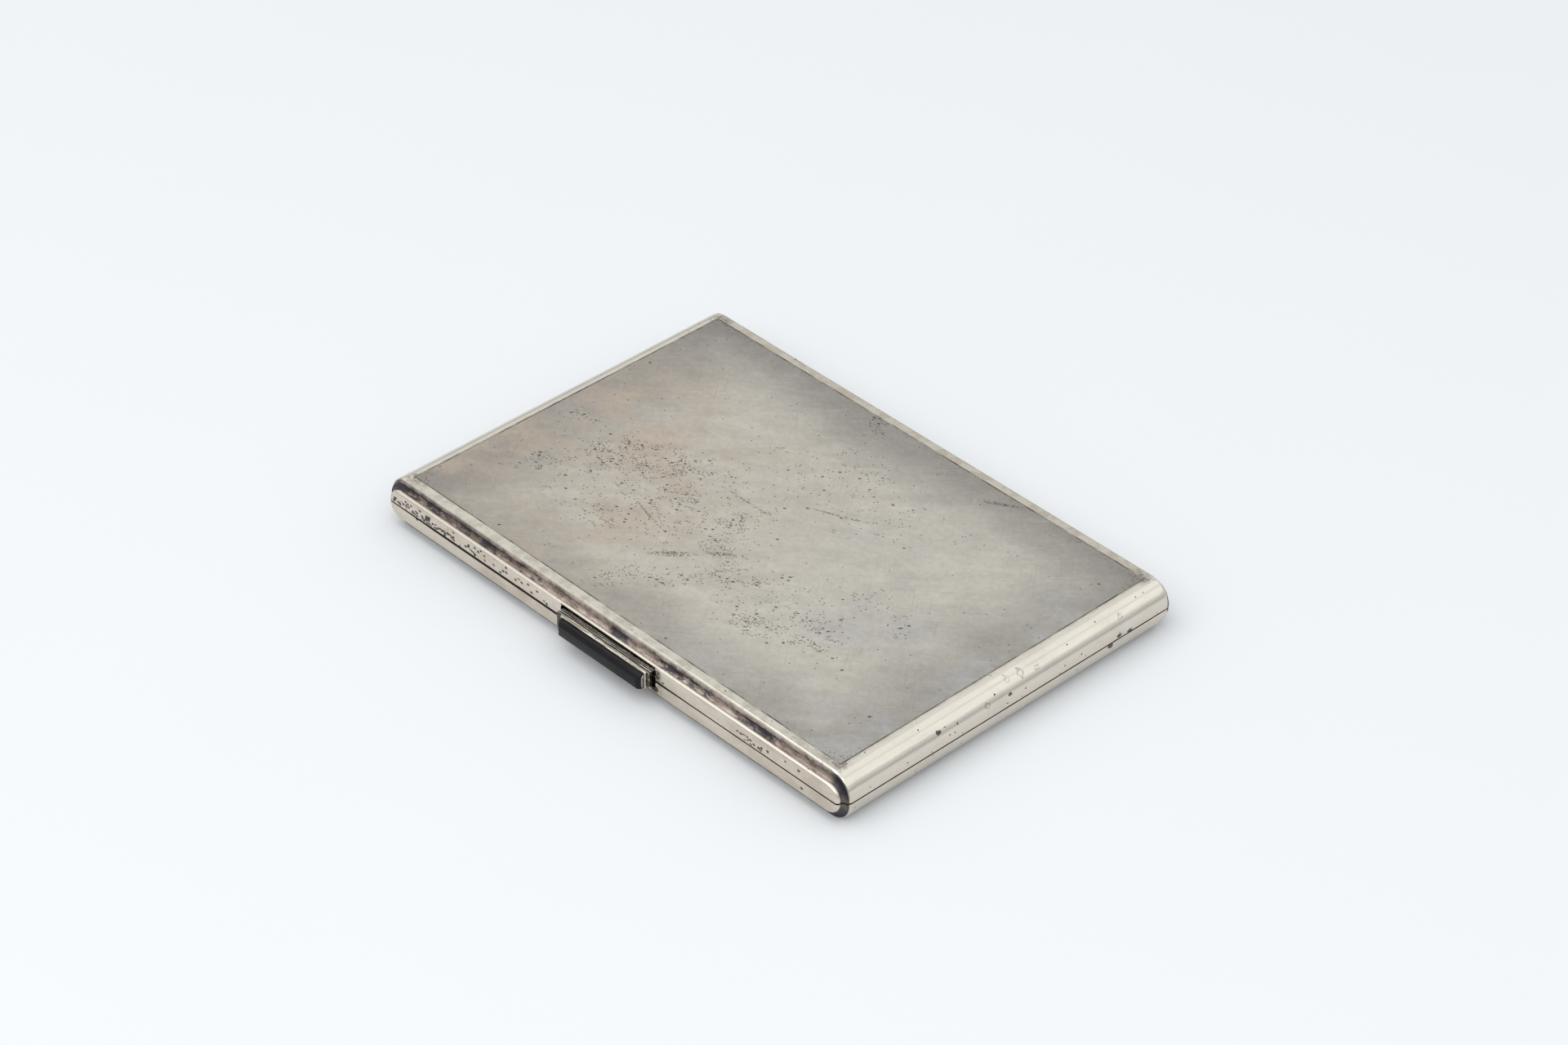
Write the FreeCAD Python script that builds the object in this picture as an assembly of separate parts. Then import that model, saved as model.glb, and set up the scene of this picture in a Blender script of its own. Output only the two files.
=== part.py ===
"""Slim silver business card case: two mirrored half shells with side bands, a seven-knuckle
hinge along the back, a push thumbpiece with an onyx bar along the front, and a sprung card
clip inside the lid.

Units are millimetres. +X runs along the case, +Y towards the hinge, +Z up. The row frame has
its origin at the centre of the flat underside. Everything is drawn about the parting plane
(z = 0 there) and lifted by HALF_T when it is written out.
"""
import FreeCAD, Part
import math
import os

V = FreeCAD.Vector
X_AXIS = V(1, 0, 0)
Y_AXIS = V(0, 1, 0)

# ---------------------------------------------------------------- driving dimensions
LENGTH = 95.0            # over the rounded ends
WIDTH = 66.0             # over the faces of the side bands
HALF_T = 4.05            # parting plane to either outer face
SHEET = 0.6              # wall of the stamped covers
END_R = 3.5              # round of the short ends
SHOULDER_R = 0.6         # round of the long edges
PART_GAP = 0.1           # each half stops this far from the parting plane

BAND_T = 1.2             # how far a side band stands out from its cover
BAND_H = 2.4             # band height above the parting plane
BAND_END_INSET = 1.0     # cover end to band end
BAND_END_R = 2.2
BAND_LIP_R = 0.5
FLANGE_T = 0.08          # thin foot of the band that is soldered to the cover
FLANGE_STEP = 0.8        # how far the foot reaches past the band
COVE_R = 0.6

ENGRAVE_W = 0.18         # border line cut in both covers
ENGRAVE_D = 0.07
ENGRAVE_END = 3.55       # from the case's end
ENGRAVE_SIDE = 2.96      # from the band's face

HINGE_OUT = 0.1          # hinge axis outside the band face
BARREL_R = 1.15
SEAT_R = 1.3             # scallop in both back bands
PIN_R = 0.45
PIN_PLAY = 0.05
KNUCKLES = 7
BARREL_L = 80.0
KNUCKLE_GAP = 0.15
SADDLE_FROM, SADDLE_TO = 100.0, 165.0    # lid saddle, degrees about the axis from +Y

THUMB_X = 1.0            # centre of the thumbpiece along the case
THUMB_L = 17.5
THUMB_Z0, THUMB_Z1 = -1.0, 1.62
TRAVEL = 0.8             # how far it presses in
NOTCH_X0, NOTCH_X1 = -9.1, 10.6
NOTCH_UP, NOTCH_DOWN = 2.2, 1.3
NOTCH_R = 0.5
CARRIER_X0, CARRIER_X1 = -8.85, 10.05
CARRIER_BACK, CARRIER_FRONT = 32.65, 33.9
# grooves along the carrier's top: distance from the case's middle line, half width, depth
CARRIER_GROOVES = ((33.5, 0.13, 0.2), (33.14, 0.09, 0.14), (32.86, 0.07, 0.12))
PLATE_T = 0.35
ONYX_L = 17.0
ONYX_D = 1.05
ONYX_Z0, ONYX_Z1 = -1.1, 1.3
ONYX_BEVEL, ONYX_BEVEL_UNDER = 0.48, 0.26
ONYX_END_W, ONYX_END_D = 0.5, 0.6      # facet at each end of the front face
CLAW_D = 0.5
STEM_HALF_W = 4.0
STEM_HALF_H = 0.9
STEM_PLAY = 0.15

HOOK_Y0, HOOK_Y1 = 29.4, 29.9
NOSE_Z0, NOSE_Z1 = 2.3, 2.9
NOSE_TIP = 30.35
KEEPER_Y = 30.5
SPRING_T = 0.25
SPRING_Z0, SPRING_Z1 = -2.9, -1.4
SPRING_HALF_L = 25.0
SPRING_RIVET_X = 22.5    # foot rivets, either side of the thumbpiece's middle
HOOK_RIVET_X = 2.4
RIVET_R = 0.35
RIVET_PLAY = 0.05

CLIP_HALF_W = 22.0
CLIP_HINGE_Y = 27.6
CLIP_FRONT_Y = -18.5
CLIP_Z = 2.55
CLIP_WIRE_W = 1.6
CLIP_WIRE_T = 0.7
CLIP_EYE_R = 0.7
CLIP_PIN_R = 0.35
LUG_GAP = 0.25
LUG_W = 1.5
LUG_R = 0.85

# ---------------------------------------------------------------- sizes that follow
HALF_L = LENGTH / 2
BAND_FACE = WIDTH / 2
COVER_Y = BAND_FACE - BAND_T
INNER_Y = COVER_Y - SHEET
INNER_L = HALF_L - SHEET
ROOF = HALF_T - SHEET
HINGE_Y = BAND_FACE + HINGE_OUT
PLATE_BACK = CARRIER_FRONT
ONYX_BACK = PLATE_BACK + PLATE_T


# ---------------------------------------------------------------- helpers
def box(x0, x1, y0, y1, z0, z1):
    """A box from its lowest and highest corners."""
    return Part.makeBox(x1 - x0, y1 - y0, z1 - z0, V(x0, y0, z0))


def rod(radius, x0, x1, y, z):
    """A round rod along X."""
    return Part.makeCylinder(radius, x1 - x0, V(x0, y, z), X_AXIS)


def tunnel(half_len, height, radius, low, y0, y1):
    """A flat-topped bar with rounded upper ends, drawn in XZ and run from y0 to y1."""
    side = half_len - radius
    turn = radius * math.sqrt(0.5)
    top = height - radius
    corners = [V(-half_len, y0, low), V(-half_len, y0, top), V(-side, y0, height),
               V(side, y0, height), V(half_len, y0, top), V(half_len, y0, low)]
    mid_left = V(-side - turn, y0, top + turn)
    mid_right = V(side + turn, y0, top + turn)
    edges = [Part.makeLine(corners[0], corners[1]),
             Part.Arc(corners[1], mid_left, corners[2]).toShape(),
             Part.makeLine(corners[2], corners[3]),
             Part.Arc(corners[3], mid_right, corners[4]).toShape(),
             Part.makeLine(corners[4], corners[5]),
             Part.makeLine(corners[5], corners[0])]
    return Part.Face(Part.Wire(edges)).extrude(V(0, y1 - y0, 0))


def strip(points, x0, x1):
    """A straight bar along X whose section is a closed polygon of (y, z) points."""
    ring = [V(x0, y, z) for y, z in points]
    ring.append(ring[0])
    return Part.Face(Part.makePolygon(ring)).extrude(V(x1 - x0, 0, 0))


def outline_edges(shape, y, low):
    """The edges that follow a tunnel's outline at one end, above its open side."""
    found = []
    for edge in shape.Edges:
        box_of = edge.BoundBox
        flat = abs(box_of.YMin - y) < 0.001 and abs(box_of.YMax - y) < 0.001
        if flat and box_of.ZMax > low + 0.01:
            found.append(edge)
    return found


def flip(shape):
    """The mirror image below the parting plane."""
    return shape.mirror(V(0, 0, 0), V(0, 0, 1))


def group(solids):
    """Separate solids that share a node."""
    return solids[0] if len(solids) == 1 else Part.makeCompound(solids)


# ---------------------------------------------------------------- covers
def stem_window(margin):
    """The hole in the front walls that the thumbpiece's stem runs through."""
    half = STEM_HALF_W + margin
    tall = STEM_HALF_H + margin
    return box(THUMB_X - half, THUMB_X + half, -COVER_Y - 1, -INNER_Y + 1, -tall, tall)


def border_line():
    """The engraved rectangle, as the frame that is cut away."""
    x = HALF_L - ENGRAVE_END
    y = BAND_FACE - ENGRAVE_SIDE
    half = ENGRAVE_W / 2
    low = HALF_T - ENGRAVE_D
    outer = box(-x - half, x + half, -y - half, y + half, low, HALF_T + 1)
    inner = box(-x + half, x - half, -y + half, y - half, low - 1, HALF_T + 2)
    return outer.cut(inner)


def cover():
    """One stamped cover, upper way up: flat top, rounded ends, short side walls."""
    outer = tunnel(HALF_L, HALF_T, END_R, PART_GAP, -COVER_Y, COVER_Y)
    rounded = outline_edges(outer, -COVER_Y, PART_GAP) + outline_edges(outer, COVER_Y, PART_GAP)
    outer = outer.makeFillet(SHOULDER_R, rounded)
    hollow = tunnel(INNER_L, ROOF, END_R - SHEET, PART_GAP - 1, -INNER_Y, INNER_Y)
    return outer.cut(hollow).cut(border_line()).cut(stem_window(STEM_PLAY))


# ---------------------------------------------------------------- side bands
def band():
    """One plain side band on the front, upper way up: a raised bar over a coved foot."""
    bar_len = HALF_L - BAND_END_INSET
    bar = tunnel(bar_len, BAND_H, BAND_END_R, PART_GAP, -BAND_FACE, -COVER_Y)
    lip = outline_edges(bar, -BAND_FACE, PART_GAP)
    bar = bar.makeFillet(BAND_LIP_R, lip)
    foot_len = bar_len + FLANGE_STEP
    foot_h = BAND_H + FLANGE_STEP
    foot_y = COVER_Y + FLANGE_T
    foot = tunnel(foot_len, foot_h, BAND_END_R + FLANGE_STEP, PART_GAP, -foot_y, -COVER_Y)
    whole = foot.fuse(bar).removeSplitter()
    corner = []
    for edge in outline_edges(whole, -foot_y, PART_GAP):
        if edge.BoundBox.ZMax < BAND_H + 0.01 and abs(edge.BoundBox.XMax) < bar_len + 0.01:
            if abs(edge.BoundBox.XMin) < bar_len + 0.01:
                corner.append(edge)
    return whole.makeFillet(COVE_R, corner)


def hinge_seat():
    """The scallop that the hinge barrel lies in."""
    half = BARREL_L / 2 + 0.6
    return rod(SEAT_R, -half, half, HINGE_Y, 0)


def front_band(notch_height):
    """The front band with the thumbpiece's notch cut up from the parting plane."""
    notch = box(NOTCH_X0, NOTCH_X1, -BAND_FACE - 1, -COVER_Y + 0.5, -1, notch_height)
    corners = [e for e in notch.Edges
               if e.BoundBox.YLength > 1 and e.CenterOfMass.z > notch_height - 0.01]
    return band().cut(notch.makeFillet(NOTCH_R, corners))


def back_band():
    """The back band with the hinge seat cut along it."""
    return band().mirror(V(0, 0, 0), Y_AXIS).cut(hinge_seat())


# ---------------------------------------------------------------- hinge
def saddle(x0, x1, from_deg, to_deg):
    """The solder fillet between a knuckle and its own band."""
    sector = Part.makeCylinder(SEAT_R, x1 - x0, V(0, 0, 0), V(0, 0, 1), to_deg - from_deg)
    sector.rotate(V(0, 0, 0), V(0, 0, 1), from_deg)
    sector.rotate(V(0, 0, 0), V(1, 0, 0), 90)
    sector.rotate(V(0, 0, 0), V(0, 0, 1), 90)
    sector.translate(V(x0, HINGE_Y, 0))
    return sector


def knuckles(of_lid):
    """The barrel lengths that belong to one half, each soldered into its seat."""
    pitch = BARREL_L / KNUCKLES
    bore_r = PIN_R + (PIN_PLAY if of_lid else 0)
    first = 1 if of_lid else 0
    angles = (SADDLE_FROM, SADDLE_TO) if of_lid else (360 - SADDLE_TO, 360 - SADDLE_FROM)
    made = []
    for i in range(first, KNUCKLES, 2):
        x0 = -BARREL_L / 2 + i * pitch + (KNUCKLE_GAP / 2 if i else 0)
        x1 = -BARREL_L / 2 + (i + 1) * pitch - (KNUCKLE_GAP / 2 if i < KNUCKLES - 1 else 0)
        solid = rod(BARREL_R, x0, x1, HINGE_Y, 0).fuse(saddle(x0, x1, *angles)).removeSplitter()
        made.append(solid.cut(rod(bore_r, x0 - 1, x1 + 1, HINGE_Y, 0)))
    return group(made)


def hinge_end_caps():
    """A domed cap with a short spigot in each end of the barrel."""
    made = []
    for side in (-1, 1):
        face = BARREL_L / 2
        disc = rod(BARREL_R, face, face + 0.4, HINGE_Y, 0)
        rim = [e for e in disc.Edges if abs(e.CenterOfMass.x - face - 0.4) < 0.01]
        disc = disc.makeFillet(0.3, rim)
        cap = disc.fuse(rod(PIN_R - 0.01, face - 0.5, face + 0.1, HINGE_Y, 0)).removeSplitter()
        made.append(cap if side > 0 else cap.mirror(V(0, 0, 0), X_AXIS))
    return group(made)


# ---------------------------------------------------------------- base fittings
def inner_rim(cover_below):
    """Two thin angled strips that stand above the parting plane and centre the lid."""
    thick = 0.42
    free = 0.12
    up, down = 0.55, -1.1
    gap_half = 13.0
    back_end = 24.0
    made = []
    for side in (-1, 1):
        pieces = []
        for z0, z1, out in ((down, -PART_GAP, 0.0), (-PART_GAP, up, free)):
            end_out = INNER_L - out
            end_in = INNER_L - thick
            wall_out = INNER_Y - out
            wall_in = INNER_Y - thick
            run = (THUMB_X + gap_half, end_out) if side > 0 else (-end_out, THUMB_X - gap_half)
            end = (end_in, end_out) if side > 0 else (-end_out, -end_in)
            pieces.append(box(run[0], run[1], -wall_out, -wall_in, z0, z1))
            pieces.append(box(end[0], end[1], -wall_out, back_end, z0, z1))
        whole = pieces[0].multiFuse(pieces[1:]).removeSplitter()
        made.append(whole.cut(cover_below))
    return group(made)


def thumb_guide():
    """A small bracket on the base's front wall that the stem slides through."""
    cheek = 1.6
    floor_t = 0.4
    depth = 0.9
    half = STEM_HALF_W + cheek
    slot_low = -STEM_HALF_H - 0.1
    back = -INNER_Y + depth
    body = box(THUMB_X - half, THUMB_X + half, -INNER_Y, back, slot_low - floor_t, -PART_GAP - 0.05)
    slot_half = STEM_HALF_W + STEM_PLAY
    slot = box(THUMB_X - slot_half, THUMB_X + slot_half, -INNER_Y - 1, back + 1, slot_low, 1)
    return body.cut(slot)


def catch_spring():
    """A bowed leaf along the inside of the base's front wall."""
    wall = -INNER_Y
    middle = -HOOK_Y0 + RIVET_PLAY
    half, flat, foot = SPRING_HALF_L, 4.6, 5.0
    front = [(-half, wall), (-half + foot, wall), (-flat, middle),
             (flat, middle), (half - foot, wall), (half, wall)]
    points = [V(THUMB_X + x, y, SPRING_Z0) for x, y in front]
    points += [V(THUMB_X + x, y + SPRING_T, SPRING_Z0) for x, y in reversed(front)]
    points.append(points[0])
    leaf = Part.Face(Part.makePolygon(points)).extrude(V(0, 0, SPRING_Z1 - SPRING_Z0))
    for offset, hole_r in ((SPRING_RIVET_X, RIVET_R), (HOOK_RIVET_X, RIVET_R + RIVET_PLAY)):
        for side in (-1, 1):
            start = V(THUMB_X + side * offset, wall - 1, spring_mid_z())
            leaf = leaf.cut(Part.makeCylinder(hole_r, 4, start, Y_AXIS))
    return leaf


def rivet(x, y, z, shank_r, head_r, grip, head_t):
    """A rivet along Y from its outer face at y, with one domed head at the inner side."""
    shank = Part.makeCylinder(shank_r, grip, V(x, y, z), Y_AXIS)
    head = Part.makeCylinder(head_r, head_t, V(x, y + grip, z), Y_AXIS)
    top = [e for e in head.Edges if abs(e.CenterOfMass.y - y - grip - head_t) < 0.01]
    return shank.fuse(head.makeFillet(head_t * 0.6, top)).removeSplitter()


def spring_mid_z():
    """Height of the leaf's centre line."""
    return (SPRING_Z0 + SPRING_Z1) / 2


def spring_rivets():
    """Two rivets that hold the leaf's feet to the base."""
    made = []
    for side in (-1, 1):
        x = THUMB_X + side * SPRING_RIVET_X
        made.append(rivet(x, -INNER_Y, spring_mid_z(), RIVET_R, 0.65, SPRING_T, 0.3))
    return group(made)


def thumb_rivets():
    """Two rivets that hold the hook plate to the leaf's middle."""
    made = []
    for side in (-1, 1):
        x = THUMB_X + side * HOOK_RIVET_X
        grip = HOOK_Y1 - HOOK_Y0 + SPRING_T + 2 * RIVET_PLAY
        made.append(rivet(x, -HOOK_Y1, spring_mid_z(), RIVET_R, 0.6, grip, 0.25))
    return group(made)


# ---------------------------------------------------------------- thumbpiece
def thumb_carrier():
    """The ribbed silver block in the notch with the stem that runs to the inside."""
    block = box(CARRIER_X0, CARRIER_X1, -CARRIER_FRONT, -CARRIER_BACK,
                THUMB_Z0 + 0.05, THUMB_Z1 - 0.05)
    top = THUMB_Z1 - 0.05
    for out, half, depth in CARRIER_GROOVES:
        groove = strip([(-out - half, top + 0.01), (-out + half, top + 0.01), (-out, top - depth)],
                       CARRIER_X0 - 1, CARRIER_X1 + 1)
        block = block.cut(groove)
    stem = box(THUMB_X - STEM_HALF_W, THUMB_X + STEM_HALF_W, -CARRIER_BACK - 0.2, -HOOK_Y1,
               -STEM_HALF_H, STEM_HALF_H)
    return block.fuse(stem).removeSplitter()


def thumb_plate():
    """The thin front plate that the bar is set on."""
    half = THUMB_L / 2
    plate = box(THUMB_X - half, THUMB_X + half, -PLATE_BACK - PLATE_T, -PLATE_BACK,
                THUMB_Z0 - 0.1, THUMB_Z1)
    edges = [e for e in plate.Edges if abs(e.CenterOfMass.y + PLATE_BACK + PLATE_T) < 0.01]
    return plate.makeChamfer(0.08, edges)


def onyx_bar():
    """The bevelled onyx baguette."""
    low, high = ONYX_Z0, ONYX_Z1
    back, front = -ONYX_BACK, -ONYX_BACK - ONYX_D
    section = [(back, low), (back, high), (front + ONYX_BEVEL, high),
               (front, high - ONYX_BEVEL), (front, low + ONYX_BEVEL_UNDER),
               (front + ONYX_BEVEL_UNDER, low)]
    half = ONYX_L / 2
    bar = strip(section, THUMB_X - half, THUMB_X + half)
    for side in (-1, 1):
        x_end = THUMB_X + side * half
        x_in = x_end - side * ONYX_END_W
        y_end = front + ONYX_END_D
        wedge = [V(x_end, y_end, low - 1), V(x_end, front - 1, low - 1),
                 V(x_in, front - 1, low - 1), V(x_in, front, low - 1), V(x_end, y_end, low - 1)]
        bar = bar.cut(Part.Face(Part.makePolygon(wedge)).extrude(V(0, 0, high - low + 2)))
    return bar


def thumb_claws():
    """A low round-nosed silver claw at each end of the bar."""
    made = []
    for side in (-1, 1):
        low, high = THUMB_Z0 + 0.05, ONYX_Z1 - 0.05
        near = THUMB_X + side * ONYX_L / 2
        far = THUMB_X + side * (THUMB_L / 2 - 0.02)
        claw = box(min(near, far), max(near, far), -ONYX_BACK - CLAW_D, -ONYX_BACK, low, high)
        corners = [e for e in claw.Edges
                   if e.BoundBox.XLength > 0.1 and abs(e.CenterOfMass.y + ONYX_BACK + CLAW_D) < 0.01]
        made.append(claw.makeFillet(CLAW_D * 0.9, corners))
    return group(made)


def catch_hook():
    """The plate on the stem's end with the nose that goes under the lid's keeper."""
    half = 3.6
    plate = box(THUMB_X - half, THUMB_X + half, -HOOK_Y1, -HOOK_Y0, SPRING_Z0 + 0.1, NOSE_Z1)
    nose = strip([(-HOOK_Y1 + 0.1, NOSE_Z0), (-NOSE_TIP, NOSE_Z0), (-NOSE_TIP, NOSE_Z0 + 0.15),
                  (-HOOK_Y1 + 0.1, NOSE_Z1)], THUMB_X - 2.6, THUMB_X + 2.6)
    whole = plate.fuse(nose).removeSplitter()
    for side in (-1, 1):
        start = V(THUMB_X + side * HOOK_RIVET_X, -HOOK_Y1 - 1, spring_mid_z())
        whole = whole.cut(Part.makeCylinder(RIVET_R, 3, start, Y_AXIS))
    return whole


def catch_keeper():
    """The ledge inside the lid's front wall that the nose holds down."""
    return strip([(-INNER_Y, 1.5), (-INNER_Y, 2.15), (-KEEPER_Y, 2.15), (-KEEPER_Y, 1.9)],
                 THUMB_X - 4.2, THUMB_X + 4.2)


# ---------------------------------------------------------------- card clip in the lid
def clip_lugs():
    """Two lugs on the lid's inner face that hold the clip's pin."""
    made = []
    for side in (-1, 1):
        x0 = CLIP_HALF_W + LUG_GAP
        x1 = x0 + LUG_W
        if side < 0:
            x0, x1 = -x1, -x0
        lug = box(x0, x1, CLIP_HINGE_Y - LUG_R, CLIP_HINGE_Y + LUG_R, CLIP_Z, ROOF)
        lug = lug.fuse(rod(LUG_R, x0, x1, CLIP_HINGE_Y, CLIP_Z)).removeSplitter()
        made.append(lug.cut(rod(CLIP_PIN_R, x0 - 1, x1 + 1, CLIP_HINGE_Y, CLIP_Z)))
    return group(made)


def card_clip():
    """A flat wire frame with an eye at each hinge end and a turned-down front bar."""
    half, wide, thick = CLIP_HALF_W, CLIP_WIRE_W, CLIP_WIRE_T
    z0, z1 = CLIP_Z - thick / 2, CLIP_Z + thick / 2
    back_y = CLIP_HINGE_Y
    outer = box(-half, half, CLIP_FRONT_Y, back_y, z0, z1)
    inner = box(-half + wide, half - wide, CLIP_FRONT_Y + wide, back_y + 1, z0 - 1, z1 + 1)
    frame = outer.cut(inner)
    corners = [e for e in frame.Edges
               if abs(e.BoundBox.ZLength - thick) < 0.01 and e.CenterOfMass.y < CLIP_FRONT_Y + 0.01]
    frame = frame.makeFillet(1.4, corners)
    for side in (-1, 1):
        x0 = half - wide if side > 0 else -half
        frame = frame.fuse(rod(CLIP_EYE_R, x0, x0 + wide, back_y, CLIP_Z))
    frame = frame.removeSplitter()
    return frame.cut(rod(CLIP_PIN_R + PIN_PLAY, -half - 1, half + 1, back_y, CLIP_Z))


def clip_springs():
    """A small torsion coil on the pin beside each eye."""
    made = []
    wire_r, coil_r, turns, pitch = 0.12, 0.62, 4, 0.34
    for side in (-1, 1):
        x0 = side * (CLIP_HALF_W - CLIP_WIRE_W - 0.35)
        start = x0 if side < 0 else x0 - turns * pitch
        helix = Part.makeHelix(pitch, turns * pitch, coil_r)
        ring = Part.Wire(Part.makeCircle(wire_r, V(coil_r, 0, 0), V(0, 1, 0)))
        coil = helix.makePipeShell([ring], True, True)
        coil.rotate(V(0, 0, 0), V(0, 1, 0), 90)
        coil.translate(V(start, CLIP_HINGE_Y, CLIP_Z))
        made.append(coil)
    return group(made)


# ---------------------------------------------------------------- assembly
def build():
    """Every piece by node name, drawn about the parting plane."""
    upper = cover()
    lower = flip(upper)
    pin_half = BARREL_L / 2 - 0.6
    clip_pin_half = CLIP_HALF_W + LUG_GAP + LUG_W
    return {
        "base_cover": lower,
        "base_front_band": flip(front_band(NOTCH_DOWN)),
        "base_back_band": flip(back_band()),
        "base_inner_rim": inner_rim(lower),
        "base_knuckles": knuckles(False),
        "hinge_pin": rod(PIN_R, -pin_half, pin_half, HINGE_Y, 0),
        "hinge_end_caps": hinge_end_caps(),
        "thumb_guide": thumb_guide(),
        "catch_spring": catch_spring(),
        "spring_rivets": spring_rivets(),
        "lid_cover": upper,
        "lid_front_band": front_band(NOTCH_UP),
        "lid_back_band": back_band(),
        "lid_knuckles": knuckles(True),
        "catch_keeper": catch_keeper(),
        "clip_lugs": clip_lugs(),
        "clip_pin": rod(CLIP_PIN_R, -clip_pin_half, clip_pin_half, CLIP_HINGE_Y, CLIP_Z),
        "card_clip": card_clip(),
        "clip_springs": clip_springs(),
        "thumb_carrier": thumb_carrier(),
        "thumb_plate": thumb_plate(),
        "thumb_claws": thumb_claws(),
        "onyx_bar": onyx_bar(),
        "catch_hook": catch_hook(),
        "thumb_rivets": thumb_rivets(),
    }


os.makedirs("parts", exist_ok=True)
for name, shape in build().items():
    shape.translate(V(0, 0, HALF_T))
    box_of = shape.BoundBox
    print(f"{name:18s} solids {len(shape.Solids)} valid {shape.isValid()} volume {shape.Volume:9.2f} "
          f"x {box_of.XMin:7.2f} {box_of.XMax:7.2f} y {box_of.YMin:7.2f} {box_of.YMax:7.2f} "
          f"z {box_of.ZMin:6.2f} {box_of.ZMax:6.2f}")
    shape.exportStep(f"parts/{name}.step")
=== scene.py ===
"""Looks of the silver business card case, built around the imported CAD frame.

Lengths are written in millimetres and turned into metres by MM when a mesh is made. The
parting plane between base and lid is at PART_Z; the curved shells and bands are drawn about it,
the right way up for the lid, and mirrored for the base.
"""

import math

import bmesh
import bpy
from mathutils import Matrix, Vector, noise


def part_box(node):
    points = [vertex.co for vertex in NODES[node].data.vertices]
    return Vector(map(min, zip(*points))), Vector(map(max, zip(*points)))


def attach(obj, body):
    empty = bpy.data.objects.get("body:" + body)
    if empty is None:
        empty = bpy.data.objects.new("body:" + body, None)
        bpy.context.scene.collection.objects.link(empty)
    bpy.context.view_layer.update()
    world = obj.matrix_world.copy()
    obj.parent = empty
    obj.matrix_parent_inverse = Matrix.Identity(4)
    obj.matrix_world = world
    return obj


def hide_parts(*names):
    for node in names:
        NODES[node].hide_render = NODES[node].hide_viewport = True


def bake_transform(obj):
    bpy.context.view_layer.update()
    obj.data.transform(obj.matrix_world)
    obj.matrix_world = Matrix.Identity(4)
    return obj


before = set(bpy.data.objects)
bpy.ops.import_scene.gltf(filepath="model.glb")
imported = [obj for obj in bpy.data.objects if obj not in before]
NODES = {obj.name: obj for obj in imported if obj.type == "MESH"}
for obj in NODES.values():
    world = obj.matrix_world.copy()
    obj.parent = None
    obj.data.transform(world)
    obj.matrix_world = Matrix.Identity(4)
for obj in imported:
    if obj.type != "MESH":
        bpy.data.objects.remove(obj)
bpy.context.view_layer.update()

MM = 0.001

# ------------------------------------------------------------------ sizes, from the frame
LID_LOW, LID_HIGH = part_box("lid_cover")
BASE_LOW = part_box("base_cover")[0]
BAND_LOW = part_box("lid_front_band")[0]
ONYX_LOW, ONYX_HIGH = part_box("onyx_bar")
PLATE_LOW, PLATE_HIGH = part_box("thumb_plate")
HALF_L = LID_HIGH.x / MM
COVER_Y = LID_HIGH.y / MM
BAND_FACE = -BAND_LOW.y / MM
THUMB_MIDDLE = (ONYX_LOW.x + ONYX_HIGH.x) / 2 / MM
ONYX_HALF_L = (ONYX_HIGH.x - ONYX_LOW.x) / 2 / MM
PLATE_HALF_L = (PLATE_HIGH.x - PLATE_LOW.x) / 2 / MM
PLATE_BACK = -PLATE_HIGH.y / MM - BAND_FACE    # the plate's two faces, out from the band's face
PLATE_FRONT = -PLATE_LOW.y / MM - BAND_FACE
HALF_T = (LID_HIGH.z - BASE_LOW.z) / MM / 2
PART_Z = BASE_LOW.z / MM + HALF_T
PART_GAP = (LID_LOW.z / MM - PART_Z) * 0.5     # the shells close half of the CAD model's gap

# ------------------------------------------------------------------ shape of the shells
SHEET = 0.55
COVER_WORN = 0.025    # half of the deepest hand wear on a cover
BAND_WORN = 0.018     # and on a band
END_R = 3.5
SHOULDER_R = 0.6
BAND_H = 2.4
BAND_END_INSET = 1.0
BAND_END_R = 2.2
LIP_R = 0.5
FLANGE_T = 0.08
FLANGE_STEP = 0.8
COVE_R = 0.6
LINE_X = HALF_L - 3.55
LINE_Y = BAND_FACE - 2.96
LINE_W = 0.2
LINE_D = 0.07
NOTCH_X = (-9.1, 10.6)
NOTCH_UP = 2.2
NOTCH_DOWN = 1.3
NOTCH_R = 0.5
CARRIER_GROOVES = ((33.5, 0.13), (33.14, 0.09), (32.86, 0.07))     # distance out, half width
WINDOW_X = (-3.15, 5.15)
WINDOW_H = 1.05
SEAT_R = 1.3
SEAT_HALF_L = 40.6
HINGE_Y = BAND_FACE + 0.1
ONYX_BEVEL = 0.48
ONYX_BEVEL_UNDER = 0.26
ONYX_END_W = 0.5      # facet at each end of the bar's front face
ONYX_END_D = 0.6
ONYX_ARRIS = 0.05
CAD_ARRIS = 0.035


# ------------------------------------------------------------------ mesh helpers
def make_object(name, mesh, materials):
    """A linked object that carries the mesh and its materials."""
    piece = bpy.data.objects.new(name, mesh)
    bpy.context.scene.collection.objects.link(piece)
    for material in materials:
        mesh.materials.append(material)
    return piece


def finish_mesh(bm, name, mirrored=False):
    """Moves a mesh drawn about the parting plane to its place, in metres, and closes it up."""
    flip = -1.0 if mirrored else 1.0
    for vert in bm.verts:
        vert.co = Vector((vert.co.x, vert.co.y, vert.co.z * flip + PART_Z)) * MM
    bmesh.ops.recalc_face_normals(bm, faces=bm.faces)
    outermost = max(bm.faces, key=lambda face: flip * face.calc_center_median().z)
    if flip * outermost.normal.z < 0:
        bmesh.ops.reverse_faces(bm, faces=bm.faces)
    mesh = bpy.data.meshes.new(name)
    bm.to_mesh(mesh)
    bm.free()
    return mesh


def smooth(mesh, degrees=32):
    """Smooth shading with sharp edges where the surface turns more than this."""
    for face in mesh.polygons:
        face.use_smooth = True
    mesh.set_sharp_from_angle(angle=math.radians(degrees))


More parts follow.
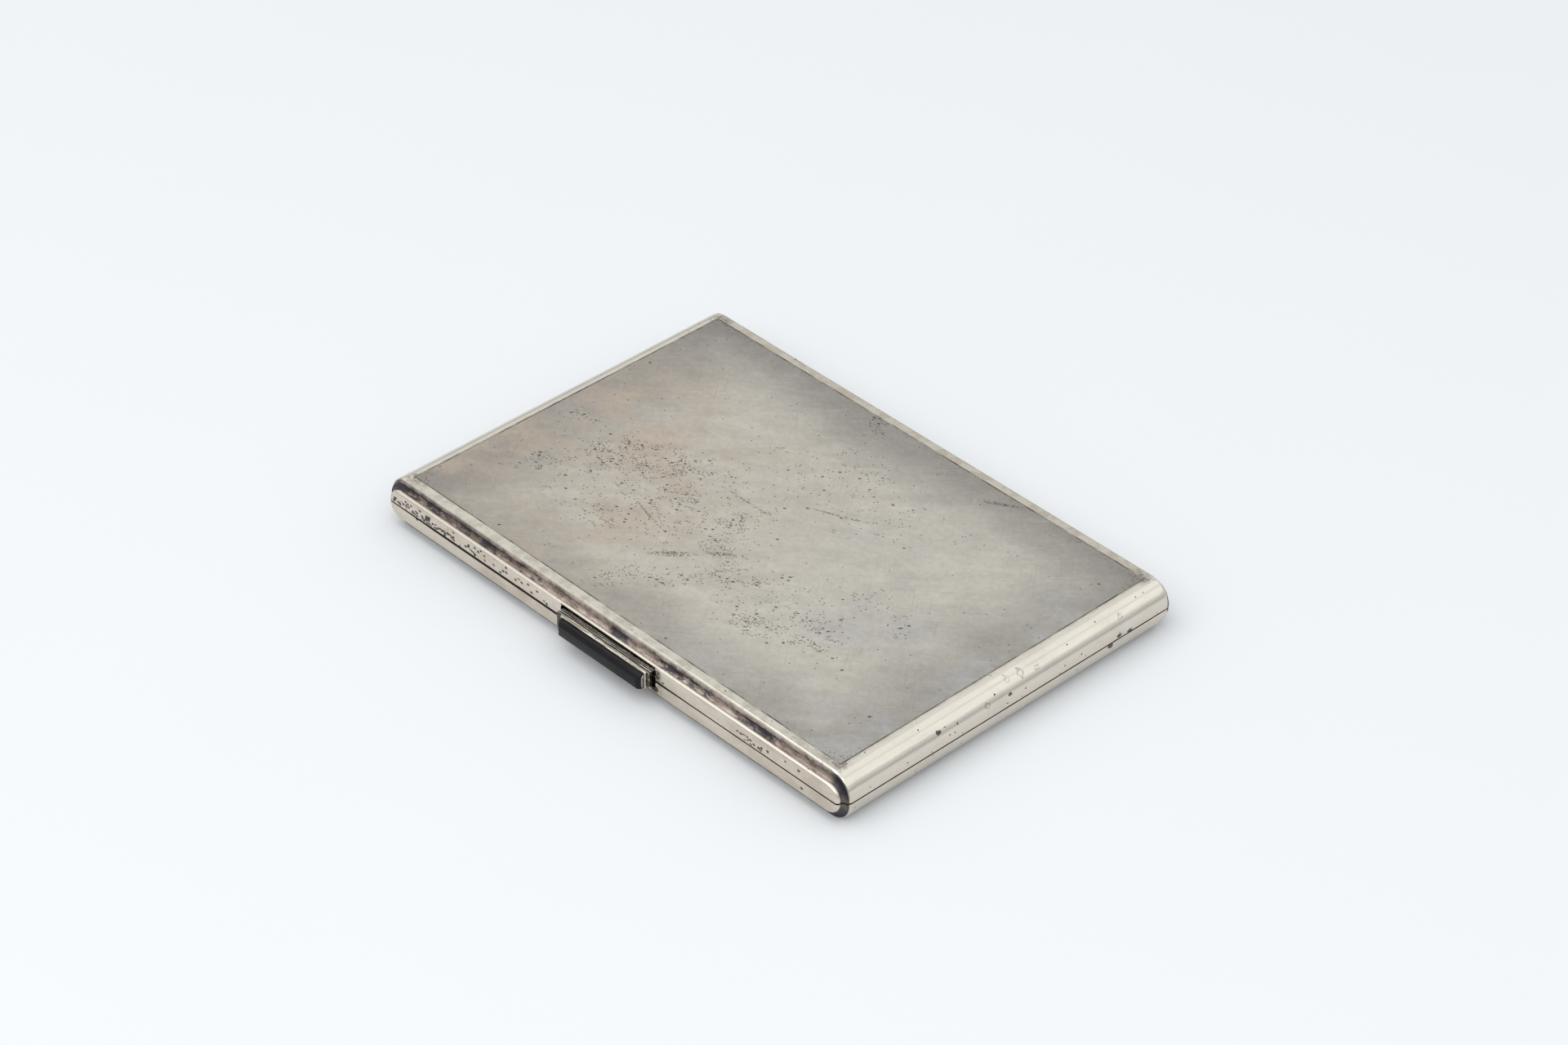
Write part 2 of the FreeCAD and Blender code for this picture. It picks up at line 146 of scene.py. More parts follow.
def baked(piece):
    """Replaces a piece's mesh with what its modifiers make of it."""
    graph = bpy.context.evaluated_depsgraph_get()
    result = bpy.data.meshes.new_from_object(piece.evaluated_get(graph))
    piece.modifiers.clear()
    piece.data = result
    return piece


def spaced(low, high, step):
    """Evenly spaced values from low to high, about this far apart."""
    count = max(1, round((high - low) / step))
    return [low + (high - low) * i / count for i in range(count + 1)]


def merged(values, extra, nearer=0.12):
    """The values with the extra ones put in, and any plain value too near one left out."""
    kept = [v for v in values if all(abs(v - e) > nearer for e in extra)]
    return sorted(kept + list(extra))


def outline(half_len, height, radius, flats, low, arc_steps=14):
    """Points (x, z, nx, nz) up one end, along the top and down the other."""
    side = half_len - radius
    turn = height - radius
    rise = []
    for i in range(arc_steps + 1):
        a = math.pi / 2 * i / arc_steps
        rise.append((side + radius * math.cos(a), turn + radius * math.sin(a), math.cos(a), math.sin(a)))
    foot = [(half_len, low, 1.0, 0.0), (half_len, (low + turn) / 2, 1.0, 0.0)]
    right = foot + rise
    left = [(-x, z, -nx, nz) for x, z, nx, nz in right]
    top = [(x, height, 0.0, 1.0) for x in flats if abs(x) < side - 0.05]
    return left + top + right[::-1]


def grid_faces(bm, rows, keep=lambda i, j: True):
    """Quads between neighbouring rows of vertices."""
    for j in range(len(rows) - 1):
        for i in range(len(rows[j]) - 1):
            if keep(i, j):
                bm.faces.new([rows[j][i], rows[j][i + 1], rows[j + 1][i + 1], rows[j + 1][i]])


def hand_worn(x, y, seed):
    """A slow unevenness in a hand-finished sheet, from -1 to 1."""
    slow = noise.noise(Vector((x / 21, y / 17, seed)))
    quick = noise.noise(Vector((x / 6, y / 5, seed + 9.0)))
    return max(-1.0, min(1.0, 1.1 * slow + 0.35 * quick))


def cut_with(piece, cutter_bm):
    """Cuts a closed tool out of a piece."""
    tool_mesh = bpy.data.meshes.new("tool")
    bmesh.ops.recalc_face_normals(cutter_bm, faces=cutter_bm.faces)
    cutter_bm.to_mesh(tool_mesh)
    cutter_bm.free()
    tool = make_object("tool", tool_mesh, [])
    cut = piece.modifiers.new("cut", "BOOLEAN")
    cut.operation = "DIFFERENCE"
    cut.solver = "EXACT"
    cut.object = tool
    baked(piece)
    bpy.data.objects.remove(tool)
    bpy.data.meshes.remove(tool_mesh)


def notch_tool(x0, x1, y0, y1, height, flip):
    """The thumbpiece's notch with round far corners, as a cutting tool."""
    side = [(x0, -1.0), (x1, -1.0)]
    for middle, start in ((x1 - NOTCH_R, 0.0), (x0 + NOTCH_R, math.pi / 2)):
        for i in range(9):
            a = start + math.pi / 2 * i / 8
            side.append((middle + NOTCH_R * math.cos(a), height - NOTCH_R + NOTCH_R * math.sin(a)))
    bm = bmesh.new()
    rings = [[bm.verts.new(Vector((x, y, flip * z + PART_Z)) * MM) for x, z in side] for y in (y0, y1)]
    for i in range(len(side)):
        j = (i + 1) % len(side)
        bm.faces.new([rings[0][i], rings[0][j], rings[1][j], rings[1][i]])
    for ring in rings:
        bm.faces.new(ring)
    return bm


def rod_tool(radius, half_len, y, z):
    """A round rod along X with its middle at (0, y, z), in millimetres, as a cutting tool."""
    bm = bmesh.new()
    turn = Matrix.Rotation(math.pi / 2, 4, "Y")
    place = Matrix.Scale(MM, 4) @ Matrix.Translation((0, y, z)) @ turn
    bmesh.ops.create_cone(bm, cap_ends=True, segments=72, radius1=radius, radius2=radius,
                          depth=2 * half_len, matrix=place)
    return bm


# ------------------------------------------------------------------ covers
def cover_profile():
    """(inset, y) across a cover: shoulder, flat with the engraved lines, shoulder."""
    half_w = LINE_W / 2
    flat_y = COVER_Y - SHOULDER_R
    lines = [s * LINE_Y + d for s in (-1, 1) for d in (-half_w, 0, half_w)]
    steps = 7
    shoulder = []
    for i in range(steps):
        a = math.pi / 2 * i / steps
        shoulder.append((SHOULDER_R * (1 - math.sin(a)), -flat_y - SHOULDER_R * math.cos(a)))
    flat = [(0.0, y) for y in merged(spaced(-flat_y, flat_y, 1.0), lines)]
    return shoulder + flat + [(inset, -y) for inset, y in reversed(shoulder)]


def on_line(x, y):
    """Whether a point of the flat top lies on the engraved border's middle."""
    across = abs(abs(x) - LINE_X) < 1e-4 and abs(y) < LINE_Y + 1e-4
    along = abs(abs(y) - LINE_Y) < 1e-4 and abs(x) < LINE_X + 1e-4
    return across or along


def side_wall(bm, points, y, window):
    """The flat side wall below a rounded shoulder, with the stem's window left out."""
    top = [(x - nx * SHOULDER_R, z - nz * SHOULDER_R) for x, z, nx, nz in points]
    rows = [[bm.verts.new((x, y, z)) for x, z in top]]
    for height in (WINDOW_H, PART_GAP):
        rows.append([bm.verts.new((x, y, min(z, height))) for x, z in top])

    def keep(i, j):
        middle = (top[i][0] + top[i + 1][0]) / 2
        return not (window and j == 1 and WINDOW_X[0] < middle < WINDOW_X[1])

    grid_faces(bm, rows, keep)


def cover(name, mirrored, materials, seed):
    """A stamped cover: flat top with an engraved line, rounded ends, short side walls."""
    half_w = LINE_W / 2
    lines = [s * LINE_X + d for s in (-1, 1) for d in (-half_w, 0, half_w)]
    flats = merged(spaced(-HALF_L, HALF_L, 1.0), [x for x in lines if abs(x) < HALF_L - END_R - 0.04])
    flats = merged(flats, WINDOW_X)
    points = outline(HALF_L, HALF_T, END_R, flats, PART_GAP)
    bm = bmesh.new()
    rows = []
    for inset, y in cover_profile():
        row = []
        for x, z, nx, nz in points:
            worn = COVER_WORN * (1 + hand_worn(x, y, seed)) * min(1.0, max(0.0, (z - 0.6) / 2.0))
            drop = inset + worn + (LINE_D if on_line(x, y) and nz > 0.9 else 0.0)
            row.append(bm.verts.new((x - nx * drop, y, z - nz * drop)))
        rows.append(row)
    grid_faces(bm, rows)
    side_wall(bm, points, -COVER_Y, True)
    side_wall(bm, points, COVER_Y, False)
    bmesh.ops.remove_doubles(bm, verts=bm.verts, dist=0.055)
    for face in bm.faces:
        middle = face.calc_center_median()
        flat = middle.z > HALF_T - 0.2
        in_border = abs(middle.x) < LINE_X - half_w and abs(middle.y) < LINE_Y - half_w
        face.material_index = 0 if flat and in_border else 2
    piece = make_object(name, finish_mesh(bm, name, mirrored), materials)
    wall = piece.modifiers.new("wall", "SOLIDIFY")
    wall.thickness = SHEET * MM
    wall.offset = -1.0
    wall.material_offset = 1
    baked(piece)
    smooth(piece.data)
    return piece


# ------------------------------------------------------------------ side bands
def band_profile():
    """(distance outside the band's outline, y) from the foot, over the cove, to the face."""
    foot_y = COVER_Y + FLANGE_T
    cove_y = foot_y + COVE_R
    lip_y = BAND_FACE - LIP_R
    profile = [(FLANGE_STEP, COVER_Y), (FLANGE_STEP, foot_y)]
    steps = 8
    for i in range(steps + 1):
        a = math.pi / 2 * i / steps
        profile.append((COVE_R - COVE_R * math.sin(a), cove_y - COVE_R * math.cos(a)))
    for i in range(steps + 1):
        a = math.pi / 2 * i / steps
        profile.append((-LIP_R + LIP_R * math.cos(a), lip_y + LIP_R * math.sin(a)))
    return profile


def band(name, mirrored, materials, back, seed):
    """A plain side band: a raised bar with rounded ends on a coved foot."""
    flats = spaced(-HALF_L, HALF_L, 1.0)
    points = outline(HALF_L - BAND_END_INSET, BAND_H, BAND_END_R, flats, PART_GAP, 12)
    turn = 1.0 if back else -1.0
    bm = bmesh.new()
    rows = []
    for out, y in band_profile():
        row = []
        for x, z, nx, nz in points:
            worn = BAND_WORN * (1 + hand_worn(x, y * 3, seed)) if y > COVER_Y + 0.5 else 0.0
            row.append(bm.verts.new((x + nx * out, turn * (y - worn), z + nz * out)))
        rows.append(row)
    grid_faces(bm, rows)
    for row in (rows[0], rows[-1]):
        feet = [bm.verts.new((v.co.x, v.co.y, PART_GAP)) for v in row]
        grid_faces(bm, [row, feet])
    bmesh.ops.remove_doubles(bm, verts=bm.verts, dist=1e-4)
    bmesh.ops.dissolve_degenerate(bm, dist=1e-4, edges=bm.edges)
    open_edges = [e for e in bm.edges if e.is_boundary]
    bmesh.ops.holes_fill(bm, edges=open_edges, sides=0)
    return make_object(name, finish_mesh(bm, name, mirrored), materials)


def front_band(name, mirrored, materials, notch_height, seed):
    """A front band with the thumbpiece's notch cut into its parting edge."""
    piece = band(name, mirrored, materials, False, seed)
    cut_with(piece, notch_tool(*NOTCH_X, -BAND_FACE - 1, -COVER_Y + 0.5, notch_height,
                               -1 if mirrored else 1))
    smooth(piece.data)
    return piece


def back_band(name, mirrored, materials, seed):
    """A back band with the hinge barrel's seat cut along its parting edge."""
    piece = band(name, mirrored, materials, True, seed)
    cut_with(piece, rod_tool(SEAT_R, SEAT_HALF_L, HINGE_Y, PART_Z))
    smooth(piece.data)
    return piece


# ------------------------------------------------------------------ materials
class Surface:
    """A node material, with short ways to make the nodes that its pattern needs."""

    def __init__(self, name):
        self.material = bpy.data.materials.new(name)
        self.material.use_nodes = True
        self.tree = self.material.node_tree
        self.shader = self.tree.nodes["Principled BSDF"]
        coordinates = self.tree.nodes.new("ShaderNodeTexCoord").outputs["Object"]
        self.place = self.vector("SCALE", coordinates, 1 / MM)
        self.x, self.y, self.z = self.split(self.place)
        self.ax = self.math("ABSOLUTE", self.x)
        self.ay = self.math("ABSOLUTE", self.y)
        self.height = self.math("SUBTRACT", self.z, PART_Z)
        self.hz = self.math("ABSOLUTE", self.height)
        self.grain = self.noise(0.24, 3.0, 0.7)

    def link(self, source, target):
        """Joins an output to an input, or sets the input when the source is a plain value."""
        if isinstance(source, bpy.types.NodeSocket):
            self.tree.links.new(source, target)
        else:
            target.default_value = source

    def vector(self, operation, a, b):
        """One vector node; the second operand may be a plain number for a scale."""
        node = self.tree.nodes.new("ShaderNodeVectorMath")
        node.operation = operation
        self.link(a, node.inputs[0])
        self.link(b, node.inputs["Scale"] if operation == "SCALE" else node.inputs[1])
        return node.outputs[0]

    def split(self, value):
        """The three parts of a vector."""
        node = self.tree.nodes.new("ShaderNodeSeparateXYZ")
        self.link(value, node.inputs[0])
        return node.outputs

    def math(self, operation, a, b=0.0, c=0.0):
        """One arithmetic node."""
        node = self.tree.nodes.new("ShaderNodeMath")
        node.operation = operation
        for socket, value in zip(node.inputs, (a, b, c)):
            self.link(value, socket)
        return node.outputs[0]

    def apart(self, a, b):
        """How far apart two values are."""
        return self.math("ABSOLUTE", self.math("SUBTRACT", a, b))

    def step(self, value, low, high):
        """0 below low, 1 above high, and smooth between."""
        node = self.tree.nodes.new("ShaderNodeMapRange")
        node.interpolation_type = "SMOOTHSTEP"
        for key, setting in (("Value", value), ("From Min", low), ("From Max", high)):
            self.link(setting, node.inputs[key])
        return node.outputs[0]

    def fall(self, value, low, high):
        """1 below low, 0 above high."""
        return self.step(value, high, low)

    def both(self, *factors):
        """The product of several masks."""
        result = factors[0]
        for factor in factors[1:]:
            result = self.math("MULTIPLY", result, factor)
        return result

    def either(self, *factors):
        """The largest of several masks."""
        result = factors[0]
        for factor in factors[1:]:
            result = self.math("MAXIMUM", result, factor)
        return result

    def mix(self, factor, a, b):
        """One colour over another."""
        node = self.tree.nodes.new("ShaderNodeMix")
        node.data_type = "RGBA"
        self.link(factor, node.inputs[0])
        for socket, colour in ((node.inputs[6], a), (node.inputs[7], b)):
            self.link(colour if isinstance(colour, bpy.types.NodeSocket) else (*colour, 1.0), socket)
        return node.outputs[2]

    def shade(self, colour, value, low, high):
        """A colour made darker or lighter by a pattern around 0.5."""
        gain = self.math("MULTIPLY_ADD", value, high - low, low)
        return self.vector("SCALE", colour, gain)

    def frame_of(self, turn=0.0, stretch=(1.0, 1.0, 1.0), shift=(0.0, 0.0, 0.0), where=None):
        """The place turned about Z by degrees, then stretched, for a pattern with a direction."""
        node = self.tree.nodes.new("ShaderNodeMapping")
        node.vector_type = "TEXTURE"
        self.link(where if where is not None else self.place, node.inputs["Vector"])
        node.inputs["Location"].default_value = shift
        node.inputs["Rotation"].default_value = (0.0, 0.0, math.radians(turn))
        node.inputs["Scale"].default_value = stretch
        return node.outputs[0]

    def noise(self, size, detail=2.0, rough=0.5, where=None):
        """Noise whose features are about this many millimetres across."""
        return self.noise_node(size, detail, rough, where).outputs["Fac"]

    def noise_node(self, size, detail, rough, where=None):
        """A noise node."""
        node = self.tree.nodes.new("ShaderNodeTexNoise")
        self.link(where if where is not None else self.place, node.inputs["Vector"])
        node.inputs["Scale"].default_value = 1.0 / size
        node.inputs["Detail"].default_value = detail
        node.inputs["Roughness"].default_value = rough
        return node

    def ragged(self, where, size, reach):
        """A position pushed about by noise, so that an edge drawn on it wanders."""
        push = self.vector("SUBTRACT", self.noise_node(size, 3.0, 0.6).outputs["Color"], (0.5, 0.5, 0.5))
        return self.vector("ADD", where, self.vector("SCALE", push, 2.0 * reach))

    def warped(self, size, reach):
        """The place, ragged."""
        return self.ragged(self.place, size, reach)

    def wall(self, along):
        """A position on an upright face: distance along it and height above the parting plane."""
        node = self.tree.nodes.new("ShaderNodeCombineXYZ")
        self.link(along, node.inputs[0])
        self.link(self.height, node.inputs[1])
        return node.outputs[0]

    def cells(self, size, where, flat):
        """Distance to the nearest of scattered points, and a random value for that point."""
        node = self.tree.nodes.new("ShaderNodeTexVoronoi")
        node.voronoi_dimensions = "2D" if flat else "3D"
        self.link(where if where is not None else self.place, node.inputs["Vector"])
        node.inputs["Scale"].default_value = 1.0 / size
        return node.outputs["Distance"], self.split(node.outputs["Color"])[0]

    def oval_square(self, u, v, oval):
        """0 in the middle of an oval and 1 on its edge: middle, half lengths and turn in degrees."""
        x, y, half_long, half_wide, turn = oval
        cos, sin = math.cos(math.radians(turn)), math.sin(math.radians(turn))
        along = self.math("MULTIPLY_ADD", v, sin / half_long, -(x * cos + y * sin) / half_long)
        along = self.math("MULTIPLY_ADD", u, cos / half_long, along)
        across = self.math("MULTIPLY_ADD", v, cos / half_wide, (x * sin - y * cos) / half_wide)
        across = self.math("MULTIPLY_ADD", u, -sin / half_wide, across)
        return self.math("MULTIPLY_ADD", along, along, self.math("MULTIPLY", across, across))

    def blob(self, u, v, oval):
        """A soft oval mask."""
        return self.fall(self.oval_square(u, v, oval), 0.12, 1.0)

    def ring(self, u, v, oval):
        """The rim of an oval."""
        return self.fall(self.apart(self.oval_square(u, v, oval), 0.75), 0.15, 0.45)

    def blobs(self, ovals, where=None):
        """Several ovals as one mask, on the plan unless another pair of axes is given."""
        u, v, _ = self.split(where) if where is not None else (self.x, self.y, self.z)
        result = self.blob(u, v, ovals[0])
        for oval in ovals[1:]:
            result = self.math("MAXIMUM", result, self.blob(u, v, oval))
        return result

    def scattered(self, size, low, high, share, where=None, flat=False):
        """Small spots in the share of cells that the mask allows, each out to a set distance."""
        distance, chance = self.cells(size, where, flat)
        return self.both(self.fall(distance, low, high), self.math("LESS_THAN", chance, share))

    def seam(self):
        """Grime and painted shade: the black edge beside the parting line, wide to the left; the meeting
        faces are cleaner.
        """
        thick = self.both(self.fall(self.x, 6.0, 20.0), self.step(self.x, -44.0, -34.0))
        reach = self.math("MULTIPLY_ADD", thick, 0.12, 0.09)
        reach = self.math("MULTIPLY_ADD", self.noise(2.0, 2.0), 0.05, reach)
        above = self.math("SUBTRACT", self.hz, reach)
        normal = self.tree.nodes.new("ShaderNodeTexCoord").outputs["Normal"]
        level = self.step(self.math("ABSOLUTE", self.split(normal)[2]), 0.75, 0.95)
        return self.both(self.fall(above, -0.02, 0.03), self.math("MULTIPLY_ADD", level, -0.65, 1.0))

    def bump(self, height, depth_mm, strength=1.0):
        """Bumps of this height on the normal, over any made before."""
        node = self.tree.nodes.new("ShaderNodeBump")
        node.inputs["Strength"].default_value = strength
        node.inputs["Distance"].default_value = depth_mm * MM
        self.link(height, node.inputs["Height"])
        if self.shader.inputs["Normal"].is_linked:
            self.link(self.shader.inputs["Normal"].links[0].from_socket, node.inputs["Normal"])
        self.link(node.outputs[0], self.shader.inputs["Normal"])

    def finish(self, colour, roughness, metallic=1.0):
        """Feeds the shader."""
        self.link(colour if isinstance(colour, bpy.types.NodeSocket) else (*colour, 1.0),
                  self.shader.inputs["Base Color"])
        self.link(roughness, self.shader.inputs["Roughness"])
        self.link(metallic, self.shader.inputs["Metallic"])
        return self.material


BRIGHT = (0.69, 0.65, 0.575)      # polished silver on the rounded ends
BRIGHT_LOW = (0.68, 0.60, 0.515)  # the same, near the parting line
BRIGHT_DULL = (0.56, 0.52, 0.44)
STRIP = (0.63, 0.605, 0.52)       # outside the engraved border
STRIP_DULL = (0.45, 0.415, 0.345)
PANEL = (0.515, 0.490, 0.432)     # inside the border
PANEL_EDGE = (0.27, 0.257, 0.238)
TAN = (0.46, 0.385, 0.315)
LILAC = (0.43, 0.423, 0.415)
SCRATCH_DARK = (0.16, 0.145, 0.13)
SCRATCH_LIGHT = (0.68, 0.65, 0.60)
LID_PIT = (0.075, 0.062, 0.054)
WALL_BROWN = (0.15, 0.12, 0.10)   # side walls of the covers
WALL_PINK = (0.46, 0.39, 0.35)
WALL_LOW = (0.13, 0.11, 0.085)
BAND = (0.69, 0.615, 0.52)
BAND_DULL = (0.55, 0.47, 0.385)
BAND_LIP = (0.70, 0.66, 0.575)
BAND_PIT = (0.05, 0.042, 0.038)
THUMB_BRIGHT = (0.88, 0.84, 0.74)
THUMB_DULL = (0.34, 0.30, 0.25)
THUMB_SPOT = (0.10, 0.085, 0.075)
CLAW_GREY = (0.30, 0.28, 0.25)
# painted highlight on the thumb plate's ends
PLATE_END_HIGHLIGHT = (0.85, 0.83, 0.78)
BLACK_OXIDE = (0.035, 0.037, 0.046)
BROWN_OXIDE = (0.17, 0.125, 0.095)
PINK_OXIDE = (0.45, 0.38, 0.345)
# dirt, and also painted shade in the thumbpiece's notch and crevices
DIRT_AND_SHADE = (0.055, 0.047, 0.042)
# black for the parting line: grime, and painted shade where the gap between the halves falls dark
SEAM_GRIME_AND_SHADE = (0.02, 0.018, 0.016)
GILT = (0.80, 0.60, 0.27)
GILT_DEEP = (0.70, 0.48, 0.19)
GILT_THIN = (0.74, 0.66, 0.47)
GILT_SPECK = (0.16, 0.10, 0.05)
ONYX_BLACK = (0.003, 0.003, 0.004)
ONYX_BLOOM = (0.010, 0.010, 0.013)
DUST = (0.25, 0.24, 0.22)
STEEL_BLUE = (0.30, 0.31, 0.34)
STEEL_STRAW = (0.42, 0.38, 0.32)
RUST = (0.20, 0.09, 0.04)
PAPER = (0.626, 0.648, 0.667)
WIPE_DEG = 40.0                   # the way that the lid has been rubbed, on the plan

# where the lid is pitted: (x, y, half length, half width, turn, share), millimetres and degrees
PITTED = ((-24, -2.5, 13, 5, 28, 0.9), (-15, -6, 5, 4, 60, 0.9), (-19, -17, 4, 2.5, 0, 0.7),
          (-34, -13, 6, 3, 70, 0.45), (-5, -4, 4, 3, -45, 0.9), (-1, -9.5, 5, 3, 0, 1.0),
          (5, -12.5, 6, 3, 20, 0.7), (21, -11.8, 7, 1.1, 2, 0.8), (23, -14.9, 6, 0.9, 3, 1.0),
          (16, -17.5, 7, 2.6, 18, 1.0), (-8, 29, 5, 2, -50, 0.8), (-2, 19, 7, 4, -10, 0.25),
          (21, -2, 5, 3.5, 30, 0.2), (28, -3, 4, 2.5, -50, 0.22), (-1, -19, 8, 2, 45, 0.4),
          (-39, -2, 4, 3, 60, 0.4), (-13, 12, 4, 2.5, 30, 0.25), (-6, -23, 8, 3, 60, 0.3),
          (-17, -7, 25, 14, 18, 0.17), (12, -13, 17, 9, 8, 0.15), (2, 12, 22, 9, 12, 0.08))
# single deep scratches on the lid, in the same form
SCORES = ((-5.4, -15.2, 4.4, 0.75, 45), (-0.6, -10, 2.8, 0.5, 40), (18, 27.8, 4.0, 0.45, 33),
          (-7, 1.2, 5.5, 0.22, 1), (4, 8.5, 5.5, 0.2, 24), (-14.5, -11.3, 5.0, 0.2, -14))
# black patches in the front cove: (x, half length)
COVE_BLACK = ((-43.5, 3.2), (-37.5, 2.0), (-30.5, 1.7), (-25.5, 2.8), (2.2, 2.2), (12.9, 2.6),
              (29.8, 4.4))
# the same, where it only speckles
COVE_SPECKLED = ((-18.6, 1.6), (-15.2, 1.4), (18.0, 3.2))
# nicks and rings in the right end: (y, height above the parting plane, half size)
END_NICKS = ((-14.3, 2.45, 0.40), (-12.9, 2.6, 0.15), (-10.7, 2.2, 0.16), (-3.1, 2.9, 0.2),
             (-0.5, 1.8, 0.30), (-1.3, 0.8, 0.16), (21.4, 0.55, 0.42), (19.6, -0.4, 0.5),
             (23.5, 0.25, 0.42))
END_RINGS = ((0.0, 3.4, 0.35), (-4.9, 2.1, 0.4), (2.5, 3.25, 0.45), (5.4, 2.9, 0.3), (22.3, 2.9, 0.35))
# large pits in the lid's front band: (x, height above the parting plane, half sizes, turn)
BAND_BLOTS = ((-37.9, 1.25, 0.8, 0.5, 30), (-28.9, 1.3, 0.35, 0.45, 0), (-27.9, 0.75, 0.9, 0.22, -20))


def tarnished_panel(s):
    """Colour inside the border: grey towards the edges, tan to the left, wiped streaks over it."""
    cloud = s.warped(15.0, 6.0)
    x, y, _ = s.split(cloud)
    left = s.both(s.fall(x, -44.0, -24.0), 0.80)
    right = s.both(s.step(x, 27.0, 46.0), 0.72)
    back = s.both(s.step(y, 15.0, 31.0), 0.85)
    front = s.both(s.fall(y, -31.0, -19.0), 0.62)
    dark = s.either(left, right, back, front)
    dark = s.math("MULTIPLY_ADD", s.both(left, s.either(back, front)), 0.4, dark)
    colour = s.mix(s.math("MINIMUM", dark, 1.0), PANEL, PANEL_EDGE)
    blotch = s.step(s.noise(10.0, 4.0, 0.6), 0.42, 0.62)
    tan_side = s.both(s.fall(x, -28.0, 16.0), s.math("MULTIPLY_ADD", blotch, 0.55, 0.20))
    colour = s.mix(s.both(tan_side, s.fall(y, 4.0, 26.0)), colour, TAN)
    lilac_cloud = s.noise(12.0, 4.0, 0.6, s.frame_of(shift=(40.0, 9.0, 0.0)))
    lilac_side = s.both(s.step(x, -4.0, 40.0), s.step(lilac_cloud, 0.44, 0.64))
    colour = s.mix(s.both(lilac_side, s.fall(y, 12.0, 26.0), 0.6), colour, LILAC)
    corner = s.both(s.step(x, 28.0, 44.0), s.step(y, 14.0, 28.0), 0.6)
    colour = s.mix(corner, colour, PANEL_EDGE)
    wiped = s.noise(2.6, 4.0, 0.65, s.frame_of(WIPE_DEG, (4.5, 1.0, 1.0), where=s.warped(6.0, 1.2)))
    colour = s.shade(colour, wiped, 0.82, 1.18)
    colour = s.shade(colour, s.noise(4.0, 5.0, 0.7), 0.84, 1.16)
    colour = s.shade(colour, s.noise(1.0, 4.0, 0.7), 0.88, 1.12)
    return colour, wiped


def border_and_ends(s):
    """Colour outside the border: bright strips with dull yellowish spots, brighter ends."""
    spots = s.step(s.noise(2.6, 5.0, 0.7), 0.42, 0.62)
    dull = s.math("MULTIPLY_ADD", s.step(s.y, 20.0, 31.0), 0.50, s.both(spots, 0.75))
    strip = s.mix(s.math("MINIMUM", dull, 1.0), STRIP, STRIP_DULL)
    low = s.fall(s.hz, 0.6, 2.6)
    ends = s.mix(s.both(low, 0.75), BRIGHT, BRIGHT_LOW)
    ends = s.mix(s.both(s.step(s.noise(6.0, 4.0, 0.6), 0.45, 0.72), 0.35), ends, BRIGHT_DULL)
    drawn = s.noise(0.45, 3.0, 0.6, s.frame_of(stretch=(1.0, 16.0, 1.0)))
    ends = s.shade(ends, drawn, 0.90, 1.08)
    past_end = s.step(s.ax, LINE_X + 0.1, LINE_X + 0.7)
    return s.mix(past_end, strip, ends)


def lid_pits(s):
    """Corrosion pits, crowded where the lid is listed as pitted, and the few deep scores."""
    u, v, _ = s.split(s.warped(3.0, 1.6))
    here = 0.0
    for x, y, half_long, half_wide, turn, share in PITTED:
        here = s.either(s.both(s.blob(u, v, (x, y, half_long, half_wide, turn)), share), here)
    ragged = s.step(s.noise(1.3, 3.0, 0.6, s.frame_of(WIPE_DEG - 8.0, (2.0, 1.0, 1.0))), 0.40, 0.56)
    crowd = s.both(s.math("MINIMUM", s.both(here, 1.6), 1.0), ragged)
    lying = s.frame_of(WIPE_DEG - 10.0, (1.5, 1.0, 1.0), where=s.warped(0.7, 0.15))
    large = s.scattered(0.70, 0.14, 0.33, s.math("MULTIPLY_ADD", crowd, 0.26, 0.001), lying, True)
    small_share = s.math("MULTIPLY_ADD", crowd, 0.62, 0.006)
    small = s.scattered(0.40, 0.18, 0.44, small_share, s.frame_of(15.0, shift=(3.0, 11.0, 0.0)), True)
    broken = s.step(s.noise(0.45, 3.0, 0.7), 0.44, 0.56)
    scores = s.both(s.blobs(SCORES, s.warped(0.8, 0.35)), broken, 0.9)
    return s.either(large, s.both(small, 0.8), scores)


def lid_scratches(s):
    """Fine crossing scratches, mostly the way of wiping: a dark set and a light set."""
    fine = s.step(s.noise(0.5, 2.0, 0.5, s.frame_of(WIPE_DEG, (30.0, 0.42, 1.0))), 0.62, 0.76)
    cross = s.step(s.noise(0.5, 2.0, 0.5, s.frame_of(-52.0, (16.0, 0.40, 1.0))), 0.60, 0.74)
    light_way = s.frame_of(WIPE_DEG + 8.0, (26.0, 0.40, 1.0), (5.0, 3.0, 0.0))
    light = s.step(s.noise(0.5, 2.0, 0.5, light_way), 0.62, 0.76)
    worn = s.step(s.noise(9.0, 2.0), 0.36, 0.58)
    return s.both(s.either(fine, cross), worn), s.both(light, worn)


def inside_line(s):
    """Distance inwards from the engraved border's middle, negative outside it."""
    return s.math("MINIMUM", s.math("SUBTRACT", LINE_X, s.ax), s.math("SUBTRACT", LINE_Y, s.ay))


def line_grime(s):
    """Dirt in the engraved line and at its corners."""
    to_line = s.math("ABSOLUTE", inside_line(s))
    on_top = s.step(s.hz, HALF_T - 0.45, HALF_T - 0.15)
    line = s.both(s.fall(to_line, 0.08, 0.17), on_top)
    line = s.both(line, s.math("MULTIPLY_ADD", s.noise(3.0, 3.0), 1.6, 0.05))
    near = s.fall(to_line, 0.2, 1.6)
    corner = s.both(s.step(s.ax, LINE_X - 4.5, LINE_X), s.step(s.ay, LINE_Y - 2.0, LINE_Y), near, on_top)
    ragged = s.step(s.noise(0.8, 4.0, 0.7), 0.42, 0.56)
    return s.either(line, s.both(corner, ragged, 0.75))


